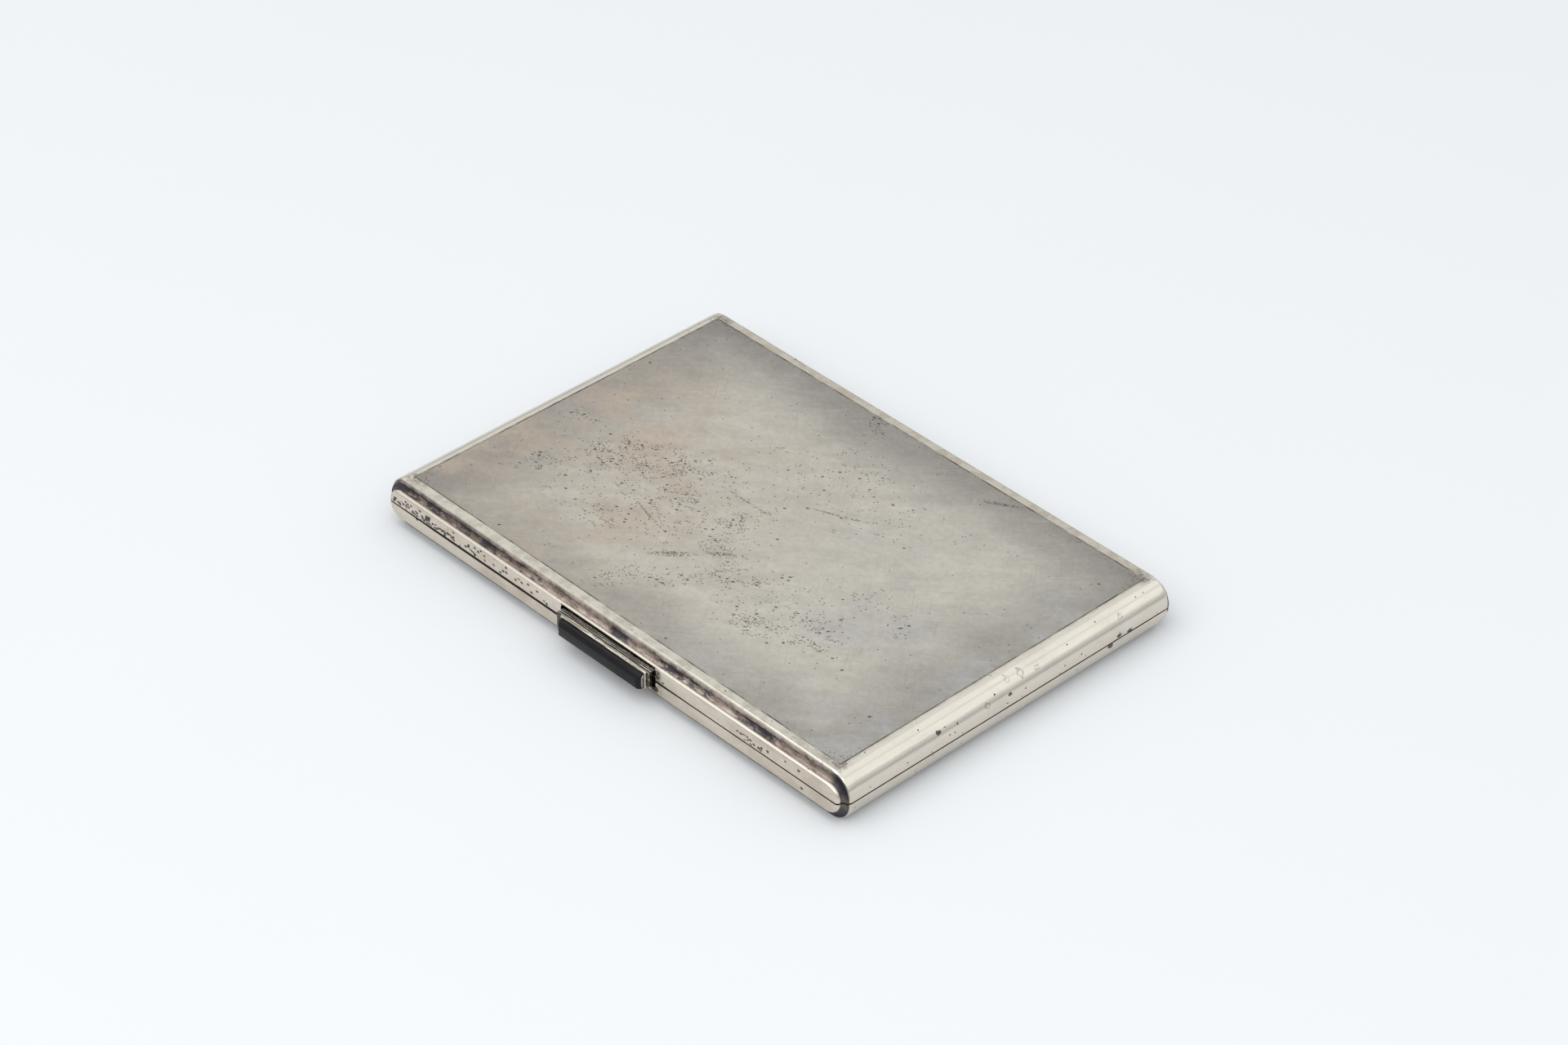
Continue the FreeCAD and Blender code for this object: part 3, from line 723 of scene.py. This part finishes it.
def end_nicks(s):
    """Black nicks and fainter rings on the right end."""
    at_end = s.step(s.x, LINE_X + 0.5, LINE_X + 1.0)
    where = s.ragged(s.wall(s.y), 0.5, 0.45)
    spots = s.blobs([(y, z, 1.5 * size, size, 0.0) for y, z, size in END_NICKS], where)
    spots = s.step(spots, 0.25, 0.7)
    u, v, _ = s.split(where)
    for y, z, size in END_RINGS:
        spots = s.either(spots, s.both(s.ring(u, v, (y, z, 1.2 * size, size, 0.0)), 0.45))
    return s.both(spots, at_end)


def edge_dirt(s):
    """Specks of dirt inside the engraved line, at the corners and along the back."""
    corner = s.both(s.step(s.ax, LINE_X - 8.0, LINE_X - 1.0), s.step(s.ay, LINE_Y - 8.0, LINE_Y - 1.0))
    back = s.both(s.step(s.y, LINE_Y - 2.5, LINE_Y), 0.5)
    specks = s.step(s.noise(0.5, 3.0, 0.7), 0.53, 0.62)
    return s.both(s.fall(inside_line(s), 0.2, 2.4), s.either(corner, back), specks)


def silver_panel():
    """The tarnished panel inside the border, with its pits and scratches."""
    s = Surface("silver_panel")
    colour, wiped = tarnished_panel(s)
    colour = s.shade(colour, s.grain, 0.90, 1.10)
    fine, light = lid_scratches(s)
    colour = s.mix(s.both(fine, 0.24), colour, SCRATCH_DARK)
    colour = s.mix(s.both(light, 0.30), colour, SCRATCH_LIGHT)
    pits = s.either(lid_pits(s), s.both(edge_dirt(s), 0.7))
    colour = s.mix(s.both(pits, 0.85), colour, LID_PIT)
    rough = s.math("MULTIPLY_ADD", s.math("SUBTRACT", wiped, 0.5), 0.08, 0.37)
    rough = s.math("MULTIPLY_ADD", pits, 0.25, rough)
    s.bump(s.grain, 0.006, 0.6)
    s.bump(s.math("SUBTRACT", light, s.either(fine, pits)), 0.008, 0.5)
    return s.finish(colour, rough)


def wall_patina(s):
    """Brown and pinkish oxide on the side walls, blacker at the right end, left and back."""
    patina = s.mix(s.step(s.noise(2.2, 5.0, 0.7), 0.36, 0.60), WALL_BROWN, WALL_PINK)
    right = s.step(s.x, 43.0, 45.5)
    left = s.both(s.fall(s.x, -26.0, -18.0), 0.4)
    back = s.both(s.step(s.y, 0.0, 1.0), 0.6)
    patina = s.mix(s.either(right, left, back), patina, BLACK_OXIDE)
    return s.mix(s.both(s.fall(s.hz, 0.6, 2.4), 0.6), patina, WALL_LOW)


def silver_rim():
    """The covers outside the panel: strips, ends, engraved line and side walls."""
    s = Surface("silver_rim")
    colour = s.shade(border_and_ends(s), s.grain, 0.90, 1.10)
    few = s.scattered(0.6, 0.10, 0.34, 0.025)
    dirt = s.either(line_grime(s), end_nicks(s), few)
    colour = s.mix(s.both(dirt, 0.9), colour, DIRT_AND_SHADE)
    side_wall_part = s.both(s.step(s.ay, COVER_Y - 0.35, COVER_Y - 0.1), s.fall(s.hz, 3.55, 3.95))
    in_notch = s.both(s.step(s.x, NOTCH_X[0], NOTCH_X[0] + 1.0),
                      s.fall(s.x, NOTCH_X[1] - 1.0, NOTCH_X[1]), s.fall(s.hz, 1.6, 2.0))
    tarnished = s.both(side_wall_part, s.math("SUBTRACT", 1.0, in_notch))
    colour = s.mix(tarnished, colour, wall_patina(s))
    # grime and painted shade along the parting line
    colour = s.mix(s.seam(), colour, SEAM_GRIME_AND_SHADE)
    rough = s.math("MULTIPLY_ADD", s.either(side_wall_part, dirt), 0.25, 0.15)
    s.bump(s.grain, 0.004, 0.5)
    s.bump(s.noise(2.4, 3.0, 0.5), 0.008, 0.35)
    return s.finish(colour, rough)


def cove_patina_and_shade(s):
    """Black, brown and pinkish oxide along the cove, black at the listed places, with painted shade making
    it a little blacker up under the shoulder.
    """
    along = s.frame_of(stretch=(2.0, 1.0, 1.0))
    tone = s.noise(1.7, 5.0, 0.7, along)
    colour = s.mix(s.step(tone, 0.36, 0.60), BROWN_OXIDE, PINK_OXIDE)
    browner = s.either(s.both(s.fall(s.x, -20.0, -12.0), 0.6), s.both(s.step(s.x, 18.0, 40.0), 0.4))
    colour = s.mix(browner, colour, BROWN_OXIDE)
    warped_x = s.split(s.warped(1.6, 0.8))[0]
    bias = 0.0
    for places, share in ((COVE_BLACK, 1.0), (COVE_SPECKLED, 0.62)):
        for x, half in places:
            near = s.fall(s.apart(warped_x, x), half * 0.45, half * 1.15)
            bias = s.math("MAXIMUM", bias, s.both(near, share))
    bias = s.both(bias, s.fall(s.y, 0.0, 1.0))
    left = s.both(s.fall(s.x, -22.0, -18.0), 0.42)
    bias = s.either(bias, left, s.both(s.step(s.y, 0.0, 1.0), 0.45))
    # painted shade: a little blacker high in the cove, under the cover's shoulder
    high = s.both(s.step(s.hz, 2.6, 3.4), 0.07)
    ragged = s.math("ADD", s.noise(0.8, 6.0, 0.78, along), high)
    black = s.step(s.math("MULTIPLY_ADD", bias, 0.21, ragged), 0.56, 0.72)
    at_ends = s.step(s.math("MULTIPLY_ADD", tone, 3.0, s.ax), 45.4, 46.6)
    less_low = s.math("MULTIPLY_ADD", s.step(s.hz, 0.2, 2.0), 0.35, 0.65)
    black = s.either(black, s.both(at_ends, less_low))
    return s.mix(s.both(black, 0.9), colour, BLACK_OXIDE)


def band_pits(s, face):
    """Pits on the band faces: crowded low on the lid's band at the left, few elsewhere."""
    low_row = s.fall(s.apart(s.height, 0.75), 0.30, 0.68)
    crowded = s.both(s.fall(s.x, -34.0, -29.0), low_row)
    lid_face = s.both(s.step(s.height, 0.1, 0.4), s.fall(s.height, 1.7, 2.2))
    some = s.both(s.fall(s.x, -16.0, -11.0), lid_face, 0.30)
    few = s.both(s.fall(s.apart(s.x, 29.5), 1.5, 4.5), low_row, 0.5)
    front = s.fall(s.y, -BAND_FACE + 0.25, -BAND_FACE + 0.5)
    share = s.math("ADD", s.both(s.either(crowded, some, few), front, 0.95), 0.012)
    lying = s.frame_of(0.0, (1.4, 1.0, 1.0), where=s.ragged(s.wall(s.x), 0.5, 0.15))
    pits = s.scattered(0.48, 0.28, 0.54, share, lying, True)
    blots = s.blobs(BAND_BLOTS, s.ragged(s.wall(s.x), 0.4, 0.25))
    return s.both(s.either(pits, s.both(s.step(blots, 0.2, 0.5), front)), face)


def notch_shade_and_shadow(s, depth):
    """Painted shade inside the thumbpiece's notch, and the thumbpiece's painted shadow on the band beside
    its right edge and below that edge's corner.
    """
    left, right = NOTCH_X
    front = s.fall(s.y, 0.0, 1.0)
    ragged = s.step(s.noise(0.8, 4.0, 0.6), 0.40, 0.60)
    beside = s.both(s.fall(s.apart(s.x, right + 0.3), 0.3, 1.1), s.fall(s.hz, 1.5, 2.6), ragged, front)
    across = s.both(s.step(s.x, left - 0.15, left), s.fall(s.x, right, right + 0.15))
    above = s.step(s.height, -NOTCH_DOWN - 0.12, -NOTCH_DOWN)
    below = s.fall(s.height, NOTCH_UP, NOTCH_UP + 0.12)
    inside = s.both(across, above, below, s.step(depth, 0.03, 0.12))
    corner_oval = (right - 0.3, -NOTCH_DOWN, 1.1, 0.75, 0.0)
    corner = s.both(s.fall(s.oval_square(s.x, s.height, corner_oval), 0.3, 1.0), front)
    return s.either(inside, s.both(beside, 0.9), corner)


def silver_band():
    """Silver of the side bands: warm worn faces and lips, oxide in the cove."""
    s = Surface("silver_band")
    depth = s.math("SUBTRACT", BAND_FACE, s.ay)
    tone = s.noise(5.0, 4.0, 0.65, s.frame_of(stretch=(2.2, 1.0, 1.0)))
    colour = s.mix(s.step(tone, 0.40, 0.68), BAND, BAND_DULL)
    lip = s.both(s.step(depth, 0.05, 0.25), s.fall(depth, 0.45, 0.60), s.step(s.hz, 1.6, 2.2))
    colour = s.mix(s.both(lip, 0.8), colour, BAND_LIP)
    colour = s.shade(colour, s.grain, 0.88, 1.12)
    colour = s.shade(colour, s.noise(0.8, 4.0, 0.7), 0.92, 1.08)
    in_cove = s.step(s.math("MULTIPLY_ADD", s.noise(0.9, 4.0, 0.6), 0.22, depth), 0.58, 0.80)
    colour = s.mix(in_cove, colour, s.shade(cove_patina_and_shade(s), s.noise(0.5, 4.0, 0.7), 0.7, 1.3))
    pits = band_pits(s, s.fall(depth, 0.40, 0.60))
    colour = s.mix(s.both(pits, 0.95), colour, BAND_PIT)
    # painted shade in the notch and the thumbpiece's painted shadow beside it
    colour = s.mix(notch_shade_and_shadow(s, depth), colour, DIRT_AND_SHADE)
    # grime and painted shade along the parting line
    colour = s.mix(s.seam(), colour, SEAM_GRIME_AND_SHADE)
    rough = s.math("MULTIPLY_ADD", in_cove, 0.20, 0.22)
    rough = s.math("MULTIPLY_ADD", s.math("SUBTRACT", tone, 0.5), 0.12, rough)
    s.bump(s.grain, 0.005, 0.5)
    s.bump(s.noise(1.8, 3.0, 0.5), 0.012, 0.4)
    return s.finish(colour, rough)


def thumb_shade(s, proud):
    """Painted shade in the carrier's grooves, behind the plate, round the claws' roots and beside the bar's
    ends; the left claw darker as well.
    """
    groove = 0.0
    for out, half in CARRIER_GROOVES:
        groove = s.either(s.fall(s.apart(s.ay, out), half * 0.6, half * 1.15), groove)
    behind_plate = s.fall(s.apart(proud, PLATE_BACK), 0.02, 0.07)
    claw_root = s.fall(s.apart(proud, PLATE_FRONT + 0.07), 0.04, 0.09)
    from_end = s.apart(s.apart(s.x, THUMB_MIDDLE), ONYX_HALF_L)
    beside_bar = s.both(s.fall(from_end, 0.03, 0.10), s.step(proud, PLATE_FRONT - 0.03, PLATE_FRONT + 0.05))
    left_claw = s.both(s.step(proud, PLATE_FRONT, PLATE_FRONT + 0.05), s.fall(s.x, -2.0, 0.0))
    return s.either(groove, behind_plate, claw_root, beside_bar, left_claw)


def plate_end_highlight(s, proud):
    """A painted highlight on the ends of the thumb plate."""
    outer = s.step(s.apart(s.x, THUMB_MIDDLE), PLATE_HALF_L - 0.11, PLATE_HALF_L - 0.05)
    past_back = s.step(proud, PLATE_BACK + 0.06, PLATE_BACK + 0.10)
    return s.both(outer, past_back, s.fall(proud, PLATE_FRONT - 0.03, PLATE_FRONT + 0.01))


def silver_thumb():
    """Silver of the thumbpiece: tarnish streaked along it, grey claws, painted shade in its grooves,
    crevices and notch, and a painted highlight on the plate's ends.
    """
    s = Surface("silver_thumb")
    streak = s.noise(0.4, 4.0, 0.6, s.frame_of(stretch=(9.0, 0.5, 0.5)))
    spots = s.noise(0.6, 4.0, 0.65)
    colour = s.mix(s.step(streak, 0.42, 0.58), THUMB_BRIGHT, THUMB_DULL)
    colour = s.mix(s.both(s.step(spots, 0.56, 0.68), 0.7), colour, THUMB_SPOT)
    proud = s.math("SUBTRACT", s.ay, BAND_FACE)
    # painted shade on the carrier where it runs back into the notch behind the band's face
    colour = s.mix(s.fall(proud, -0.45, -0.36), colour, DIRT_AND_SHADE)
    claws = s.both(s.step(proud, PLATE_FRONT, PLATE_FRONT + 0.05), 0.7)
    colour = s.mix(claws, colour, CLAW_GREY)
    # painted shade in the thumbpiece's grooves and crevices
    colour = s.mix(s.both(thumb_shade(s, proud), 0.9), colour, DIRT_AND_SHADE)
    # painted highlight on the plate's ends
    colour = s.mix(plate_end_highlight(s, proud), colour, PLATE_END_HIGHLIGHT)
    s.bump(streak, 0.01, 0.4)
    return s.finish(colour, s.math("MULTIPLY_ADD", spots, 0.25, 0.14))


def gilding(name, worn):
    """Worn gilding over silver, paler where it has rubbed through."""
    s = Surface(name)
    cloud = s.noise(11.0, 4.0, 0.6)
    wiped = s.noise(0.9, 5.0, 0.65, s.frame_of(WIPE_DEG, (12.0, 1.0, 1.0), where=s.warped(9.0, 1.5)))
    colour = s.mix(s.step(cloud, 0.38, 0.68), GILT, GILT_DEEP)
    rubbed = s.step(s.noise(14.0, 3.0, 0.6, s.frame_of(shift=(5.0, 31.0, 0.0))), 0.42, 0.66)
    thin = s.both(s.step(wiped, 0.46, 0.66), s.math("MULTIPLY_ADD", rubbed, 0.8, 0.2), worn)
    colour = s.mix(thin, colour, GILT_THIN)
    speck = s.scattered(0.7, 0.10, 0.26, 0.09)
    colour = s.mix(s.math("MULTIPLY", speck, 0.6), colour, GILT_SPECK)
    s.bump(s.noise(0.3, 3.0, 0.6), 0.006, 0.5)
    s.bump(s.noise(3.5, 3.0, 0.5), 0.02, 0.4)
    return s.finish(colour, s.math("MULTIPLY_ADD", wiped, 0.22, 0.20))


def onyx():
    """Polished black onyx with a greyish bloom, hairlines and a little dust."""
    s = Surface("onyx")
    bloom = s.noise(2.5, 4.0, 0.6, s.frame_of(stretch=(3.0, 1.0, 1.0)))
    colour = s.mix(s.step(bloom, 0.40, 0.70), ONYX_BLACK, ONYX_BLOOM)
    dust = s.scattered(0.5, 0.06, 0.16, 0.08)
    colour = s.mix(s.math("MULTIPLY", dust, 0.15), colour, DUST)
    hair = s.step(s.noise(0.4, 2.0, 0.5, s.frame_of(6.0, (20.0, 0.5, 0.5))), 0.66, 0.76)
    s.bump(s.noise(0.9, 2.0, 0.5), 0.004, 0.3)
    s.bump(s.math("MULTIPLY", hair, -1.0), 0.004, 0.4)
    s.shader.inputs["IOR"].default_value = 1.38
    s.shader.inputs["Specular IOR Level"].default_value = 0.30
    rough = s.math("MULTIPLY_ADD", hair, 0.12, s.math("MULTIPLY_ADD", bloom, 0.12, 0.06))
    return s.finish(colour, rough, 0.0)


def spring_metal():
    """Blued spring steel with straw-coloured parts and small rust specks."""
    s = Surface("spring_metal")
    tone = s.noise(3.0, 4.0, 0.6)
    colour = s.mix(s.step(tone, 0.40, 0.65), STEEL_BLUE, STEEL_STRAW)
    rust = s.scattered(0.5, 0.08, 0.25, 0.12)
    colour = s.mix(s.math("MULTIPLY", rust, 0.6), colour, RUST)
    s.bump(s.noise(0.2, 3.0, 0.6), 0.005, 0.4)
    return s.finish(colour, s.math("MULTIPLY_ADD", tone, 0.2, 0.22))


SILVER_PANEL = silver_panel()
SILVER_RIM = silver_rim()
SILVER_BAND = silver_band()
SILVER_THUMB = silver_thumb()
GILT_INSIDE = gilding("gilt_inside", 0.65)
GILT_PARTS = gilding("gilt_parts", 0.4)
ONYX = onyx()
SPRING = spring_metal()

# ------------------------------------------------------------------ worn shells and bands
for half, mirrored, seed in (("lid", False, 1.7), ("base", True, 6.3)):
    shell = cover(half + "_shell", mirrored, [SILVER_PANEL, GILT_INSIDE, SILVER_RIM, GILT_INSIDE], seed)
    front = front_band(half + "_front_rail", mirrored, [SILVER_BAND],
                       NOTCH_DOWN if mirrored else NOTCH_UP, seed + 2)
    rear = back_band(half + "_back_rail", mirrored, [SILVER_BAND], seed + 4)
    for piece, node, slot in ((shell, "_cover", "silver"), (front, "_front_band", "band_silver"),
                              (rear, "_back_band", "band_silver")):
        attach(piece, half)
        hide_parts(half + node)


# ------------------------------------------------------------------ onyx bar
def onyx_bar():
    """The bevelled baguette, its arrises just broken."""
    low, high = ONYX_LOW / MM, ONYX_HIGH / MM
    section = [(high.y, low.z), (high.y, high.z), (low.y + ONYX_BEVEL, high.z),
               (low.y, high.z - ONYX_BEVEL), (low.y, low.z + ONYX_BEVEL_UNDER),
               (low.y + ONYX_BEVEL_UNDER, low.z)]
    bm = bmesh.new()
    rings = [[bm.verts.new((x, y, z)) for y, z in section] for x in (low.x, high.x)]
    for i in range(len(section)):
        j = (i + 1) % len(section)
        bm.faces.new([rings[0][i], rings[0][j], rings[1][j], rings[1][i]])
    for ring in rings:
        bm.faces.new(ring)
    for side, x_end in ((-1, low.x), (1, high.x)):
        edge = Vector((x_end, low.y + ONYX_END_D, 0))
        plane = Vector((side * ONYX_END_D, -ONYX_END_W, 0)).normalized()
        whole = list(bm.verts) + list(bm.edges) + list(bm.faces)
        cut = bmesh.ops.bisect_plane(bm, geom=whole, plane_co=edge, plane_no=plane, clear_outer=True)
        rim = [g for g in cut["geom_cut"] if isinstance(g, bmesh.types.BMEdge)]
        bmesh.ops.holes_fill(bm, edges=rim, sides=0)
    for vert in bm.verts:
        vert.co *= MM
    bmesh.ops.recalc_face_normals(bm, faces=bm.faces)
    mesh = bpy.data.meshes.new("onyx_baguette")
    bm.to_mesh(mesh)
    bm.free()
    bar = make_object("onyx_baguette", mesh, [ONYX])
    round_edges = bar.modifiers.new("broken_edges", "BEVEL")
    round_edges.width = ONYX_ARRIS * MM
    round_edges.segments = 3
    round_edges.limit_method = "ANGLE"
    round_edges.angle_limit = math.radians(20)
    baked(bar)
    smooth(bar.data, 28)
    return bar


bar = onyx_bar()
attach(bar, "thumbpiece")
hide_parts("onyx_bar")

# ------------------------------------------------------------------ CAD pieces that stay
FINISHES = {
    SILVER_BAND: ("base_knuckles", "lid_knuckles", "hinge_end_caps"),
    SILVER_THUMB: ("thumb_carrier", "thumb_plate", "thumb_claws"),
    GILT_PARTS: ("base_inner_rim", "card_clip", "clip_lugs", "clip_pin", "catch_keeper",
                 "thumb_guide", "catch_hook", "spring_rivets", "thumb_rivets"),
    SPRING: ("hinge_pin", "clip_springs"),
}
WITH_BROKEN_EDGES = ("thumb_carrier", "thumb_plate", "thumb_claws", "catch_hook", "thumb_guide",
                     "base_inner_rim", "catch_keeper", "card_clip", "clip_lugs")
for material, names in FINISHES.items():
    for name in names:
        node = NODES[name]
        node.data.materials.clear()
        node.data.materials.append(material)
for name in WITH_BROKEN_EDGES:
    weld = NODES[name].modifiers.new("weld", "WELD")
    weld.merge_threshold = 0.002 * MM
    edges = NODES[name].modifiers.new("broken_edges", "BEVEL")
    edges.width = CAD_ARRIS * MM
    edges.segments = 2
    edges.limit_method = "ANGLE"
    edges.angle_limit = math.radians(35)
    edges.harden_normals = True


# ------------------------------------------------------------------ leaf spring
def leaf_spring():
    """The CAD leaf again, copied into a piece of its own in spring steel."""
    mesh = NODES["catch_spring"].data.copy()
    mesh.materials.clear()
    leaf = make_object("leaf_spring", mesh, [SPRING])
    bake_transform(leaf)
    return leaf


leaf = leaf_spring()
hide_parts("catch_spring")

# ------------------------------------------------------------------ floor, light and camera
FLOOR_HALF = 2.5      # this and the softboxes are in metres
BOX_HEIGHT = 0.9


def floor():
    """A plain pale sweep that the case lies on."""
    bm = bmesh.new()
    bmesh.ops.create_grid(bm, x_segments=2, y_segments=2, size=FLOOR_HALF)
    mesh = bpy.data.meshes.new("floor")
    bm.to_mesh(mesh)
    bm.free()
    s = Surface("floor_paper")
    colour = s.shade(PAPER, s.noise(40.0, 3.0), 0.995, 1.005)
    s.finish(colour, 0.9, 0.0)
    s.shader.inputs["Specular IOR Level"].default_value = 0.1
    return make_object("floor", mesh, [s.material])


floor()


def softbox(name, x0, x1, y0, y1, height, radiance):
    """A level softbox that looks down, given by its plan in metres and its brightness."""
    light = bpy.data.lights.new(name, "AREA")
    light.shape = "RECTANGLE"
    light.size = x1 - x0
    light.size_y = y1 - y0
    light.energy = radiance * light.size * light.size_y * math.pi
    lamp = bpy.data.objects.new(name, light)
    lamp.location = ((x0 + x1) / 2, (y0 + y1) / 2, height)
    bpy.context.scene.collection.objects.link(lamp)
    return lamp


softbox("softbox_left", -0.03, 0.43, -0.65, 1.6, BOX_HEIGHT, 0.20)
softbox("softbox_right", 0.56, 1.80, -0.65, 1.6, BOX_HEIGHT, 0.22)
softbox("softbox_front", -0.60, 1.10, -1.35, -0.10, BOX_HEIGHT, 1.75)


# how bright the room is: (how far up the direction points, brightness)
SKY = ((0.0, 0.62), (0.08, 0.60), (0.15, 0.66), (0.25, 0.82), (0.36, 0.96), (0.46, 1.0), (1.0, 1.0))


def studio():
    """An even bright room with a dimmer band of walls near the horizon."""
    world = bpy.data.worlds.new("studio")
    bpy.context.scene.world = world
    world.use_nodes = True
    nodes, links = world.node_tree.nodes, world.node_tree.links
    background = nodes["Background"]
    direction = nodes.new("ShaderNodeTexCoord").outputs["Generated"]
    split = nodes.new("ShaderNodeSeparateXYZ")
    links.new(direction, split.inputs[0])
    ramp = nodes.new("ShaderNodeValToRGB")
    links.new(split.outputs["Z"], ramp.inputs[0])
    ramp.color_ramp.elements[0].position = SKY[0][0]
    ramp.color_ramp.elements[1].position = SKY[-1][0]
    for up, level in SKY[1:-1]:
        ramp.color_ramp.elements.new(up)
    for element, (up, level) in zip(ramp.color_ramp.elements, SKY):
        element.position = up
        element.color = (level, level * 1.005, level * 1.01, 1.0)
    links.new(ramp.outputs[0], background.inputs["Color"])


studio()

CAM_AZIMUTH = 45.32       # angles in degrees, lengths in millimetres
CAM_ELEVATION = 36.93
CAM_ROLL = 1.324
CAM_DISTANCE = 657.07
CAM_ASIDE = -1.318
CAM_RAISED = -3.877
CAM_LENS = 105.1


def camera():
    """The camera, from its angles about the case's middle at the parting plane."""
    az, el, roll = (math.radians(a) for a in (CAM_AZIMUTH, CAM_ELEVATION, CAM_ROLL))
    back = Vector((math.sin(az) * math.cos(el), -math.cos(az) * math.cos(el), math.sin(el)))
    level = Vector((math.cos(az), math.sin(az), 0.0))
    upright = back.cross(level)
    right = level * math.cos(roll) + upright * math.sin(roll)
    up = upright * math.cos(roll) - level * math.sin(roll)
    place = back * CAM_DISTANCE - right * CAM_ASIDE - up * CAM_RAISED + Vector((0, 0, PART_Z))
    lens = bpy.data.cameras.new("camera")
    lens.sensor_width = 36.0
    lens.lens = CAM_LENS
    lens.clip_start = 0.01
    eye = bpy.data.objects.new("camera", lens)
    turn = Matrix((right, up, back)).transposed().to_4x4()
    eye.matrix_world = Matrix.Translation(place * MM) @ turn
    bpy.context.scene.collection.objects.link(eye)
    bpy.context.scene.camera = eye


camera()
bpy.context.scene.view_settings.view_transform = "Standard"
